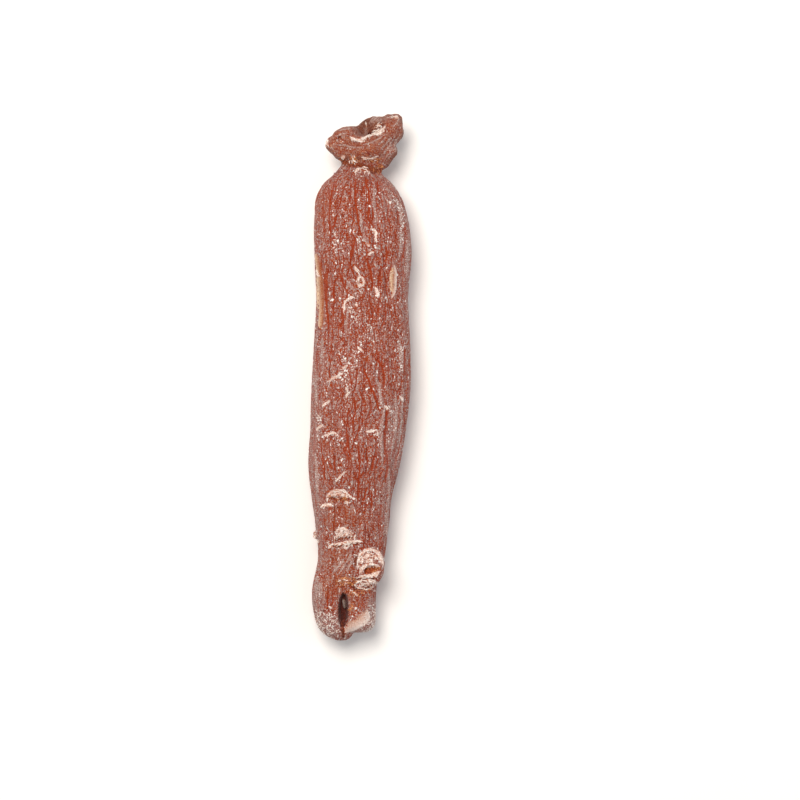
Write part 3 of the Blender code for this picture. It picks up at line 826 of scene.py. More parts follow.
def feed(tree, node, inputs):
    """Gives a node's inputs their values, or links them to a node or a socket.

    A Map Range node's inputs 1 and 2 are the range it reads, and 3 and 4 the one it gives. A Mix
    node's two sides are its inputs 2 and 3 for numbers, 4 and 5 for vectors, 6 and 7 for colours.
    """
    for key, value in inputs.items():
        if isinstance(value, bpy.types.Node):
            value = next(socket for socket in value.outputs if socket.enabled)
        if isinstance(value, bpy.types.NodeSocket):
            tree.links.new(value, node.inputs[key])
        else:
            node.inputs[key].default_value = value


def add(tree, kind, inputs=None, **settings):
    """A new node with its settings and its inputs."""
    node = tree.nodes.new(kind)
    for name, value in settings.items():
        setattr(node, name, value)
    feed(tree, node, inputs or {})
    return node


def grow_tree(name, sizes):
    """A node tree that takes a surface and named sizes: the tree, its input sockets and its end."""
    tree = bpy.data.node_groups.new(name, "GeometryNodeTree")
    tree.interface.new_socket("Geometry", in_out="INPUT", socket_type="NodeSocketGeometry")
    for size, value in sizes.items():
        kind = "NodeSocketInt" if isinstance(value, int) else "NodeSocketFloat"
        tree.interface.new_socket(size, in_out="INPUT", socket_type=kind)
    tree.interface.new_socket("Geometry", in_out="OUTPUT", socket_type="NodeSocketGeometry")
    return tree, add(tree, "NodeGroupInput").outputs, add(tree, "NodeGroupOutput")


def finish_tree(tree, end, geometry, material):
    """The tree's last steps: real geometry with its material."""
    real = add(tree, "GeometryNodeRealizeInstances", {"Geometry": geometry})
    feed(tree, end, {0: add(tree, "GeometryNodeSetMaterial", {"Geometry": real, "Material": material})})


def grown(name, surface, tree, sizes, material):
    """What a tree makes of a surface, as a plain mesh object of its own."""
    maker = surface.modifiers.new(tree.name, "NODES")
    maker.node_group = tree
    for item in tree.interface.items_tree:
        if item.in_out == "INPUT" and item.name in sizes:
            maker[item.identifier] = sizes[item.name]
    graph = bpy.context.evaluated_depsgraph_get()
    data = bpy.data.meshes.new_from_object(surface.evaluated_get(graph))
    surface.modifiers.remove(maker)
    data.name = name
    data.materials.clear()
    data.materials.append(material)
    data.shade_smooth()
    return put(name, data)


# Furrows, crimps and crinkles are the edges of long narrow cells. Each has its spacing across the
# root, its length along it, its depth, how far it wavers, half its width, and how patchy it is.
WRINKLES = (
    ("Furrow", 2.4, 15.0, 0.17, 3.0, 0.15, 0.08),
    ("Crimp", 1.25, 8.5, 0.10, 1.8, 0.12, 0.16),
    ("Crinkle", 0.60, 2.6, 0.04, 0.8, 0.09, 0.30),
)
WRINKLE_SIZES = {
    f"{name} {what}": value * MM
    for name, *values in WRINKLES
    for what, value in zip(("spacing", "length", "depth", "waver", "half width"), values)
}
KNOT_SIZES = {"Knot spacing": 2.6 * MM, "Knot height": 0.40 * MM}
# All wrinkles sway together, by this much and over this length.
SWAY = 1.5 * MM
SWAY_LENGTH = 6.0 * MM
# How many bends and how many gaps a wrinkle may have in its own length, how much of it is lost where
# the skin is calm, and the nearness at which its wall starts.
BENDS = 0.7
GAPS = 1.2
CALM_LOSS = 0.45
WRINKLE_FOOT = 0.2
# The attributes that place the wrinkles on the skin.
WRINKLE_GUIDES = ("place_x", "place_y", "place_z", "around", "around_below", "along", "upper", "calm")


def cell_edges(tree, flat, spacing, length):
    """How far each place is from the nearest edge in a net of cells, measured on the skin."""
    cell = add(tree, "ShaderNodeCombineXYZ", {0: spacing, 1: length, 2: 1.0})
    at = add(tree, "ShaderNodeVectorMath", {0: flat, 1: cell}, operation="DIVIDE")
    nearest, next_nearest = (
        add(
            tree,
            "ShaderNodeTexVoronoi",
            {"Vector": at, "Scale": 1.0},
            feature=feature,
            voronoi_dimensions="2D",
        ).outputs["Position"]
        for feature in ("F1", "F2")
    )
    across = add(tree, "ShaderNodeVectorMath", {0: next_nearest, 1: nearest}, operation="SUBTRACT")
    halfway = {0: 0.5, 4: nearest, 5: next_nearest}
    between = add(tree, "ShaderNodeMix", halfway, data_type="VECTOR").outputs[1]
    to_edge = add(tree, "ShaderNodeVectorMath", {0: between, 1: at}, operation="SUBTRACT")
    reach = add(tree, "ShaderNodeVectorMath", {0: to_edge, 1: across}, operation="DOT_PRODUCT")
    real_across = add(tree, "ShaderNodeVectorMath", {0: across, 1: cell}, operation="DIVIDE")
    steepness = add(tree, "ShaderNodeVectorMath", {0: real_across}, operation="LENGTH")
    return add(tree, "ShaderNodeMath", {0: reach, 1: steepness}, operation="DIVIDE")


def wrinkles_nearness(tree, shows, sizes):
    """How near places are to each size of wrinkle: 1 in the middle of one, 0 clear of them.

    The skin is pressed in by this and coloured by it, so the two agree.
    """
    axes = {number: shows[f"place_{axis}"] for number, axis in enumerate("xyz")}
    place = add(tree, "ShaderNodeCombineXYZ", axes)
    sway = add(tree, "ShaderNodeTexNoise", {"Vector": place, "Scale": 1 / SWAY_LENGTH, "Detail": 1.0})
    swayed = add(tree, "ShaderNodeMapRange", {"Value": sway.outputs[0], 1: 0.0, 2: 1.0, 3: -SWAY, 4: SWAY})
    nearness = {}
    for name, *_, patchiness in WRINKLES:
        spacing, length, waver, half_width = (
            sizes[f"{name} {what}"] for what in ("spacing", "length", "waver", "half width")
        )
        drawn = add(tree, "ShaderNodeCombineXYZ", {0: spacing, 1: length, 2: spacing})
        drawn_out = add(tree, "ShaderNodeVectorMath", {0: place, 1: drawn}, operation="DIVIDE")
        noise = add(tree, "ShaderNodeTexNoise", {"Vector": drawn_out, "Scale": BENDS, "Detail": 2.0})
        centred = add(tree, "ShaderNodeMath", {0: noise.outputs[0], 1: 0.5}, operation="SUBTRACT")
        push = add(tree, "ShaderNodeMath", {0: centred, 1: waver, 2: swayed}, operation="MULTIPLY_ADD")
        edges = []
        for around in ("around_below", "around"):
            wavered = add(tree, "ShaderNodeMath", {0: shows[around], 1: push}, operation="ADD")
            flat = add(tree, "ShaderNodeCombineXYZ", {0: wavered, 1: shows["along"]})
            edges.append(cell_edges(tree, flat, spacing, length))
        away = add(tree, "ShaderNodeMix", {0: shows["upper"], 2: edges[0], 3: edges[1]}, data_type="FLOAT")
        reach = add(tree, "ShaderNodeMath", {0: half_width, 1: LINE_REACH}, operation="MULTIPLY")
        near = add(tree, "ShaderNodeMapRange", {"Value": away, 1: 0.0, 2: reach, 3: 1.0, 4: 0.0})
        patch_scale = add(tree, "ShaderNodeMath", {0: GAPS, 1: length}, operation="DIVIDE")
        patch = add(tree, "ShaderNodeTexNoise", {"Vector": place, "Scale": patch_scale, "Detail": 1.0})
        bare = {"Value": patch.outputs[0], 1: 0.35, 2: 0.65, 3: patchiness, 4: 0.0}
        lost = add(tree, "ShaderNodeMapRange", bare)
        calmed = {0: shows["calm"], 1: CALM_LOSS, 2: lost}
        lost = add(tree, "ShaderNodeMath", calmed, operation="MULTIPLY_ADD")
        left = {0: near, 1: lost}
        nearness[name] = add(tree, "ShaderNodeMath", left, operation="SUBTRACT", use_clamp=True)
    return nearness


def wrinkle_tree(material):
    """Presses furrows, crimps and crinkles into a skin."""
    tree, sizes, end = grow_tree("drying_wrinkles", {**WRINKLE_SIZES, **KNOT_SIZES})
    shows = {
        name: add(tree, "GeometryNodeInputNamedAttribute", {"Name": name}, data_type="FLOAT")
        for name in (*WRINKLE_GUIDES, "head")
    }
    depth = 0.0
    for name, near in wrinkles_nearness(tree, shows, sizes).items():
        profile = add(
            tree,
            "ShaderNodeMapRange",
            {"Value": near, 1: WRINKLE_FOOT, 2: 1.0, 3: 0.0, 4: sizes[f"{name} depth"]},
            interpolation_type="SMOOTHSTEP",
        )
        depth = add(tree, "ShaderNodeMath", {0: profile, 1: depth}, operation="ADD")
    # The rhizome head is knotted all over where old stems and buds were.
    place = add(tree, "GeometryNodeInputPosition")
    scale = add(tree, "ShaderNodeMath", {0: 1.0, 1: sizes["Knot spacing"]}, operation="DIVIDE")
    lumps = {"Vector": place, "Scale": scale, "Detail": 2.0, "Roughness": 0.55}
    knots = add(tree, "ShaderNodeTexNoise", lumps).outputs[0]
    heights = {"Value": knots, 1: 0.3, 2: 0.7, 3: sizes["Knot height"], 4: 0.0}
    relief = add(tree, "ShaderNodeMapRange", heights)
    depth = add(tree, "ShaderNodeMath", {0: relief, 1: shows["head"], 2: depth}, operation="MULTIPLY_ADD")
    inward = add(tree, "ShaderNodeMath", {0: depth, 1: -1.0}, operation="MULTIPLY")
    normal = add(tree, "GeometryNodeInputNormal")
    offset = add(tree, "ShaderNodeVectorMath", {0: normal, "Scale": inward}, operation="SCALE")
    pressed_in = add(tree, "GeometryNodeSetPosition", {"Geometry": sizes["Geometry"], "Offset": offset})
    finish_tree(tree, end, pressed_in, material)
    return tree


# Loose bits on the skin: the piece, the attribute that says where they lie, how finely a bit is
# divided, its sizes, and its finish with a light colour, a dark one and a roughness.
LOOSE_BITS = (
    (
        "starch_crumbs",
        "crumbs",
        (3, 3),
        {"Density": 4.0e6, "Length": 0.46 * MM, "Width": 0.26 * MM, "Thickness": 0.2 * MM, "Seed": 3},
        ("dried_starch", "#F7EEE8", "#D9C4B8", 0.8),
    ),
    (
        "bark_chips",
        "chips",
        (4, 3),
        {"Density": 6.0e6, "Length": 0.9 * MM, "Width": 0.45 * MM, "Thickness": 0.16 * MM, "Seed": 8},
        ("peeling_cork_bark", "#D8935A", "#862F0A", 0.65),
    ),
)
# The least and the most that they are turned, in radians, and stretched.
BIT_TURN = {0: (-0.5, -0.5, 0.0), 1: (0.5, 0.5, math.tau)}
BIT_STRETCH = {0: (0.5, 0.5, 0.6), 1: (1.5, 1.1, 1.3)}
# A bit is a cube whose corners, this far from its middle, are drawn in to this share.
CORNER = 0.87
CORNER_DRAWN_IN = 0.62


def scatter_tree(name, sizes, cover, cube_cells, material):
    """Small curled bits that lie on a surface where its attribute called cover is high."""
    tree, size, end = grow_tree(name, sizes)
    where = add(tree, "GeometryNodeInputNamedAttribute", {"Name": cover}, data_type="FLOAT")
    per_metre = add(tree, "ShaderNodeMath", {0: where, 1: size["Density"]}, operation="MULTIPLY")
    scattered = add(
        tree,
        "GeometryNodeDistributePointsOnFaces",
        {"Mesh": size["Geometry"], "Density": per_metre, "Seed": size["Seed"]},
        distribute_method="RANDOM",
    ).outputs
    cells = {"Vertices X": cube_cells[0], "Vertices Y": cube_cells[1], "Vertices Z": 2}
    bit = add(tree, "GeometryNodeMeshCube", {"Size": (1.0, 1.0, 1.0), **cells})
    place = add(tree, "GeometryNodeInputPosition")
    away = add(tree, "ShaderNodeVectorMath", {0: place}, operation="LENGTH").outputs["Value"]
    share = add(tree, "ShaderNodeMapRange", {"Value": away, 1: 0.2, 2: CORNER, 3: 1.0, 4: CORNER_DRAWN_IN})
    rounded = add(tree, "ShaderNodeVectorMath", {0: place, "Scale": share}, operation="SCALE")
    soft = add(tree, "GeometryNodeSetPosition", {"Geometry": bit.outputs["Mesh"], "Position": rounded})
    spin, stretch = (
        add(
            tree,
            "FunctionNodeRandomValue",
            {**limits, "Seed": size["Seed"]},
            data_type="FLOAT_VECTOR",
        ).outputs["Value"]
        for limits in (BIT_TURN, BIT_STRETCH)
    )
    turned = add(
        tree,
        "FunctionNodeRotateRotation",
        {"Rotation": scattered["Rotation"], "Rotate By": spin},
        rotation_space="LOCAL",
    )
    sides = {0: size["Length"], 1: size["Width"], 2: size["Thickness"]}
    bit_size = add(tree, "ShaderNodeCombineXYZ", sides)
    scale = add(tree, "ShaderNodeVectorMath", {0: stretch, 1: bit_size}, operation="MULTIPLY")
    bits = add(
        tree,
        "GeometryNodeInstanceOnPoints",
        {"Points": scattered["Points"], "Instance": soft, "Rotation": turned, "Scale": scale},
    )
    real = add(tree, "GeometryNodeRealizeInstances", {"Geometry": bits})
    rough_scale = add(tree, "ShaderNodeMath", {0: 0.9, 1: size["Length"]}, operation="DIVIDE")
    rough = add(tree, "ShaderNodeTexNoise", {"Scale": rough_scale, "Detail": 1.0}).outputs["Color"]
    uneven = add(tree, "ShaderNodeVectorMath", {0: rough, 1: (0.5, 0.5, 0.5)}, operation="SUBTRACT")
    warp = add(tree, "ShaderNodeVectorMath", {0: uneven, "Scale": size["Length"]}, operation="SCALE")
    crooked = add(tree, "GeometryNodeSetPosition", {"Geometry": real, "Offset": warp})
    finish_tree(tree, end, crooked, material)
    return tree


# Bunches of torn fibres: middle, half-widths, the way they run and how far they stray from it in
# degrees, how many, their length and half thickness, and how pale they are from 0 to 1.
BUNCHES = (
    ((-4.8, -26.7), (2.3, 0.8), 20.0, 50.0, 34, 1.0, 0.085, 0.65),
    ((-7.7, -29.0), (1.1, 0.25), 12.0, 20.0, 9, 0.9, 0.12, 1.0),
    ((-3.3, -35.9), (1.9, 0.8), 62.0, 25.0, 34, 1.2, 0.07, 0.70),
    ((-3.8, -37.7), (3.2, 0.40), 11.0, 25.0, 46, 1.1, 0.10, 0.80),
    ((2.5, -41.0), (2.6, 1.6), 10.0, 80.0, 34, 0.9, 0.085, 0.95),
    ((2.5, -41.0), (2.4, 1.6), 10.0, 60.0, 42, 0.8, 0.08, 0.22),
    ((1.4, -47.0), (2.2, 1.0), 8.0, 60.0, 22, 0.9, 0.09, 0.95),
    ((1.4, -47.0), (2.0, 0.9), 8.0, 60.0, 34, 0.8, 0.08, 0.18),
    ((-3.0, -46.1), (2.2, 0.5), 5.0, 40.0, 30, 1.3, 0.08, 0.30),
    ((-3.6, -47.6), (1.0, 1.4), 84.0, 20.0, 16, 1.3, 0.07, 0.10),
    ((-0.8, -48.8), (1.8, 0.4), -24.0, 35.0, 24, 1.0, 0.09, 0.40),
    ((-1.9, -52.3), (0.5, 0.9), 60.0, 60.0, 10, 0.7, 0.09, 0.50),
    ((-1.4, 49.2), (0.8, 0.7), -50.0, 40.0, 9, 0.9, 0.12, 0.90),
    ((-3.9, 49.7), (0.5, 0.4), 45.0, 40.0, 6, 0.8, 0.12, 0.90),
    ((2.2, 49.3), (2.2, 0.2), 0.0, 30.0, 10, 1.0, 0.07, 0.60),
    ((2.6, 48.6), (2.6, 0.5), 0.0, 50.0, 14, 1.0, 0.08, 0.10),
    ((4.9, 47.2), (0.8, 0.9), -52.0, 35.0, 30, 1.8, 0.06, 0.05),
    ((4.2, 57.2), (0.8, 0.4), 25.0, 80.0, 8, 0.9, 0.08, 1.0),
    ((4.5, 55.6), (1.0, 0.7), 35.0, 30.0, 14, 0.8, 0.06, 0.95),
    ((1.4, 57.0), (0.4, 1.0), 70.0, 30.0, 6, 0.9, 0.06, 0.75),
    ((7.6, 58.9), (1.4, 0.3), 10.0, 50.0, 6, 0.6, 0.07, 0.90),
    ((-4.3, 53.2), (0.6, 0.3), -40.0, 20.0, 4, 0.9, 0.08, 0.85),
    ((0.7, 46.2), (1.2, 0.6), 80.0, 60.0, 12, 0.5, 0.08, 0.20),
    ((1.6, 50.6), (2.2, 0.5), -6.0, 40.0, 34, 1.1, 0.06, 0.04),
)
BUNCH_SEED = 5
FIBRE_JOINTS = 5
GUIDE_HEIGHT = 50 * MM
# How far fibres differ from their bunch: in place by its half-widths, in their way by its stray, in
# bend in radians, in length and thickness as the least and the most share, and in paleness.
PLACE_SPREAD = 0.5
WAY_SPREAD = 0.6
BEND_SPREAD = 0.9
LENGTH_SHARES = (0.5, 1.4)
THICKNESS_SHARES = (0.6, 1.3)
PALENESS_SPREAD = 0.25
# Strands that follow a lip: how many in each of their lengths, that length and its shares, how far
# they stray and kink, how thick they are by the lip's width, and their paleness and its spread.
STRANDS = 1.6
STRAND_LENGTH = 1.5
STRAND_LENGTH_SHARES = (0.4, 1.3)
STRAND_STRAY = 0.16
STRAND_KINK = 0.05
STRAND_THICKNESS = 0.36
STRAND_PALENESS = (0.85, 0.2)
FIBRE_SIZES = {"Step": 0.14 * MM, "Sunk": 0.02 * MM, "Curl": 0.30 * MM}


def fibre_paths(middle):
    """Every torn fibre and strand as joints seen from above, its half thickness and its paleness."""
    chance = np.random.default_rng(BUNCH_SEED)
    paths = []
    for centre, half_widths, way, stray, count, length, thickness, paleness in BUNCHES:
        for _ in range(count):
            start = np.array(centre) + chance.normal(0, PLACE_SPREAD, 2) * half_widths
            heading = math.radians(way + chance.normal(0, WAY_SPREAD) * stray)
            bend = chance.normal(0, BEND_SPREAD)
            long = length * chance.uniform(*LENGTH_SHARES)
            turns = heading + bend * np.linspace(-0.5, 0.5, FIBRE_JOINTS)
            steps = np.stack([np.cos(turns), np.sin(turns)], 1) * long / FIBRE_JOINTS
            joints = start + np.cumsum(steps, 0) - steps.sum(0) / 2
            thick = thickness * chance.uniform(*THICKNESS_SHARES)
            paths.append((joints, thick, paleness + chance.normal(0, PALENESS_SPREAD)))
    for width, *places in LIPS:
        line = np.array(places)
        before = np.append(0, np.cumsum(np.linalg.norm(np.diff(line, axis=0), axis=1)))
        for _ in range(int(STRANDS * before[-1] / STRAND_LENGTH) + 2):
            long = min(STRAND_LENGTH * chance.uniform(*STRAND_LENGTH_SHARES), before[-1])
            start = chance.uniform(0, before[-1] - long)
            at = start + np.linspace(0, long, FIBRE_JOINTS)
            joints = np.stack([np.interp(at, before, line[:, axis]) for axis in (0, 1)], 1)
            joints = joints + chance.normal(0, STRAND_STRAY, 2)
            joints = joints + chance.normal(0, STRAND_KINK, joints.shape)
            thick = STRAND_THICKNESS * width * chance.uniform(*THICKNESS_SHARES)
            pale, spread = STRAND_PALENESS
            paths.append((joints, thick, pale + chance.normal(0, spread)))
    return [(joints * MM - middle[:2], thick * MM, paleness) for joints, thick, paleness in paths]


def fibre_guides(paths):
    """The fibres' paths as loose edges above the root, with what each needs as its attributes."""
    joints = [(x, y, GUIDE_HEIGHT) for path, _, _ in paths for x, y in path]
    edges = [
        (fibre * FIBRE_JOINTS + joint, fibre * FIBRE_JOINTS + joint + 1)
        for fibre in range(len(paths))
        for joint in range(FIBRE_JOINTS - 1)
    ]
    shows = {
        name: np.repeat([path[column] for path in paths], FIBRE_JOINTS)
        for name, column in (("thickness", 1), ("paleness", 2))
    }
    return put("fibre_guides", mesh_with("fibre_guides", joints, edges, [], shows))


def fibre_tree(skin, material):
    """Drops each fibre's path onto the skin, curls it and gives it a tapered body."""
    tree, size, end = grow_tree("torn_fibres", FIBRE_SIZES)
    place = add(tree, "GeometryNodeInputPosition")
    ground = add(tree, "GeometryNodeObjectInfo", {"Object": skin}).outputs["Geometry"]
    down = {"Source Position": place, "Ray Direction": (0.0, 0.0, -1.0), "Ray Length": 2 * GUIDE_HEIGHT}
    hit = add(tree, "GeometryNodeRaycast", {"Target Geometry": ground, **down})
    missed = add(tree, "FunctionNodeBooleanMath", {0: hit.outputs["Is Hit"]}, operation="NOT")
    over_skin = add(tree, "GeometryNodeDeleteGeometry", {"Geometry": size["Geometry"], "Selection": missed})
    curves = add(tree, "GeometryNodeMeshToCurve", {"Mesh": over_skin})
    fine = {"Curve": curves, "Length": size["Step"]}
    fine_curves = add(tree, "GeometryNodeResampleCurve", fine, mode="LENGTH")
    curl_scale = add(tree, "ShaderNodeMath", {0: 0.25, 1: size["Curl"]}, operation="DIVIDE")
    curls = {"Vector": place, "Scale": curl_scale, "Detail": 1.0}
    noise = add(tree, "ShaderNodeTexNoise", curls).outputs["Color"]
    # What is taken off is less in height, so that most fibres stand off the skin.
    centred = add(tree, "ShaderNodeVectorMath", {0: noise, 1: (0.5, 0.5, 0.35)}, operation="SUBTRACT")
    curl = add(tree, "ShaderNodeVectorMath", {0: centred, "Scale": size["Curl"]}, operation="SCALE")
    downward = add(tree, "ShaderNodeMath", {0: size["Sunk"], 1: -1.0}, operation="MULTIPLY")
    sunk = add(tree, "ShaderNodeCombineXYZ", {2: downward})
    lifted = add(tree, "ShaderNodeVectorMath", {0: curl, 1: sunk}, operation="ADD")
    laid = add(tree, "ShaderNodeVectorMath", {0: hit.outputs["Hit Position"], 1: lifted}, operation="ADD")
    on_skin = add(tree, "GeometryNodeSetPosition", {"Geometry": fine_curves, "Position": laid})
    thickness = add(tree, "GeometryNodeInputNamedAttribute", {"Name": "thickness"}, data_type="FLOAT")
    share = add(tree, "GeometryNodeSplineParameter").outputs["Factor"]
    half_turn = add(tree, "ShaderNodeMath", {0: share, 1: math.pi}, operation="MULTIPLY")
    from_ends = add(tree, "ShaderNodeMath", {0: half_turn}, operation="SINE")
    taper = add(tree, "ShaderNodeMapRange", {"Value": from_ends, 1: 0.0, 2: 0.6, 3: 0.25, 4: 1.0})
    radius = add(tree, "ShaderNodeMath", {0: taper, 1: thickness}, operation="MULTIPLY")
    outline = add(tree, "GeometryNodeCurvePrimitiveCircle", {"Resolution": 5, "Radius": 1.0})
    body = {"Curve": on_skin, "Profile Curve": outline, "Scale": radius, "Fill Caps": True}
    finish_tree(tree, end, add(tree, "GeometryNodeCurveToMesh", body), material)
    return tree


def bare_material(name):
    """A material with its shader and object coordinates."""
    material = bpy.data.materials.new(name)
    material.use_nodes = True
    tree = material.node_tree
    return material, tree, tree.nodes["Principled BSDF"], add(tree, "ShaderNodeTexCoord").outputs["Object"]


def fill_ramp(node, stops):
    """Gives a colour ramp its colours, from places on it and their hex codes."""
    elements = node.color_ramp.elements
    while len(elements) < len(stops):
        elements.new(0.5)
    for element, (position, code) in zip(elements, stops):
        element.position = position
        element.color = linear(code)


# The finest grains of the real skin are about 0.2 mm across. They are drawn at more than twice that,
# so that they show in the picture. The dust of the bloom, with painted glints among it, is finer than
# can be seen, and drawn at a quarter of a millimetre.
GRAIN = 0.53 * MM
DUST = 0.26 * MM
# How uneven the net of grains is, from 0 for a regular one to 1.
GRAIN_RANDOMNESS = 0.8
# The other patterns' sizes: the waver that bends them all and how far, the noise within the grains,
# the streaks and the mottle. Grains and streaks are drawn out along the root.
WAVER_LENGTH = 1.2 * MM
WAVER = 0.6 * MM
NOISE = 0.5 * MM
STREAK = 0.8 * MM
MOTTLE = 4.5 * MM
GRAIN_DRAW = (1.0, 0.75, 1.0)
STREAK_DRAW = (1.0, 0.16, 1.0)
# The skin's middle tone, how much louder its grains are on the head, and the relief of the finest.
SKIN_TONE = 0.43
HEAD_LOUDNESS = 1.1
RELIEF = 0.08 * MM
# How far the traced lines wobble, by their reach.
WOBBLE = 0.5

# Bloomed skin, and the clear jelly of the creases, each from its darkest to its lightest grain.
SKIN_STOPS = (
    (0.0, "#8A1C02"),
    (0.18, "#8E3618"),
    (0.36, "#934630"),
    (0.52, "#985B4A"),
    (0.70, "#A3776A"),
    (0.86, "#B89F97"),
    (1.0, "#E2DAD4"),
)
JELLY_STOPS = ((0.0, "#741400"), (0.5, "#98360F"), (1.0, "#AC5C3A"))
# What single specks do: where this starts and is full, its strength at both, and its colour. They are
# grey specks that are partly thicker bloom and partly painted glints, white painted glints, and dark red
# specks.
BLOOM_AND_GLINT_COLOURS = (
    (0.60, 1.0, 0.0, 0.50, "#C8C4BE"),
    (0.975, 0.977, 0.0, 0.9, "#F0EAE5"),
    (0.058, 0.060, 0.75, 0.0, "#641404"),
)
# Where each kind of wrinkle starts to show the jelly and where it is full, and how strongly.
JELLY_LINES = (
    ("furrow", 0.58, 0.80, 0.90),
    ("crimp", 0.58, 0.84, 0.80),
    ("crinkle", 0.50, 0.90, 0.18),
    ("crease", 0.56, 0.76, 1.0),
)
# Finishes, each laid over the last: where it starts and is full, how strong it is, how ragged its
# edge, and its two colours, which take turns grain by grain or, with a name before them, from the
# left to the right of it.
FINISHES = (
    ("head", 0.3, 0.9, 0.36, 0.8, None, "#5C240E", "#AC8A70"),
    # Painted shade on the head's lower sides.
    ("head_shade", 0.2, 1.0, 0.75, 0.8, None, "#4A2014", "#8E6452"),
    ("warm", 0.2, 0.9, 0.35, 0.0, None, "#8A3719", "#B0704E"),
    # Frosted bloom, and along the root's edges a painted pale sheen.
    ("frost_and_sheen", 0.2, 0.9, 0.50, 0.8, None, "#7C4A40", "#C6BAB5"),
    # Bloom on the ridges, and a painted highlight along their crests.
    ("ridge", 0.35, 0.8, 0.50, 1.0, None, "#96746A", "#E4DAD4"),
    # The stem scar's own tissue, painted darker also as the shade in its hollow.
    ("scar", 0.05, 0.25, 0.55, 0.4, None, "#5E2412", "#8A5A48"),
    ("cork", 0.45, 0.62, 0.85, 0.9, "cork_side", "#EBCDAA", "#98440F"),
    ("bare", 0.5, 0.68, 0.90, 0.4, "bare_side", "#C0947F", "#E8D6CC"),
    ("heart", 0.05, 0.2, 0.92, 0.3, None, "#6A1806", "#BC5A24"),
    # Painted shade: the pith's pit is coloured near black.
    ("pith", 0.1, 0.3, 0.95, 0.5, None, "#3A1008", "#6E2A16"),
    # Painted shade: the floor of the cleft is coloured near black.
    ("cleft", 0.03, 0.10, 0.95, 0.25, None, "#380C06", "#6E2A1C"),
    # Painted light on the cleft's wall.
    ("wall", 0.35, 0.65, 0.95, 0.6, None, "#7E6256", "#B8A69A"),
    ("lip", 0.50, 0.78, 0.92, 1.0, None, "#D2A791", "#FBF7F4"),
    ("stub", 0.3, 0.7, 0.85, 0.8, None, "#9E3F14", "#E9D6C9"),
    # Painted shade in the gaps and splits.
    ("split", 0.42, 0.70, 0.92, 0.7, None, "#441004", "#A0481A"),
)
# The dull waxy skin itself. A little light passes through its outermost half millimetre.
SKIN_SURFACE = {
    "IOR": 1.5,
    "Specular IOR Level": 0.2,
    "Sheen Weight": 0.12,
    "Sheen Roughness": 0.4,
    "Subsurface Weight": 0.05,
    "Subsurface Radius": (1.0, 0.35, 0.2),
    "Subsurface Scale": 0.5 * MM,
}


def on_rolled_out_skin(tree, shows, push, feature, output):
    """One output of a pattern of grains that is drawn on the rolled out skin."""
    drawn = []
    for around in ("around_below", "around"):
        flat = add(tree, "ShaderNodeCombineXYZ", {0: shows[around], 1: shows["along"]})
        at = add(tree, "ShaderNodeVectorMath", {0: flat, 1: push}, operation="ADD")
        grains = add(
            tree,
            "ShaderNodeTexVoronoi",
            {"Vector": at, "Scale": 1 / GRAIN, "Randomness": GRAIN_RANDOMNESS},
            feature=feature,
            voronoi_dimensions="2D",
        )
        drawn.append(grains.outputs[output])
    sides = {0: shows["upper"], 4: drawn[0], 5: drawn[1]}
    return add(tree, "ShaderNodeMix", sides, data_type="VECTOR").outputs[1]


def summed(tree, total, shares):
    """A total and what each source adds to it: the range that is read of it and the range given."""
    for source, low, high, dark, light in shares:
        share = add(tree, "ShaderNodeMapRange", {"Value": source, 1: low, 2: high, 3: dark, 4: light})
        total = add(tree, "ShaderNodeMath", {0: share, 1: total}, operation="ADD")
    return total


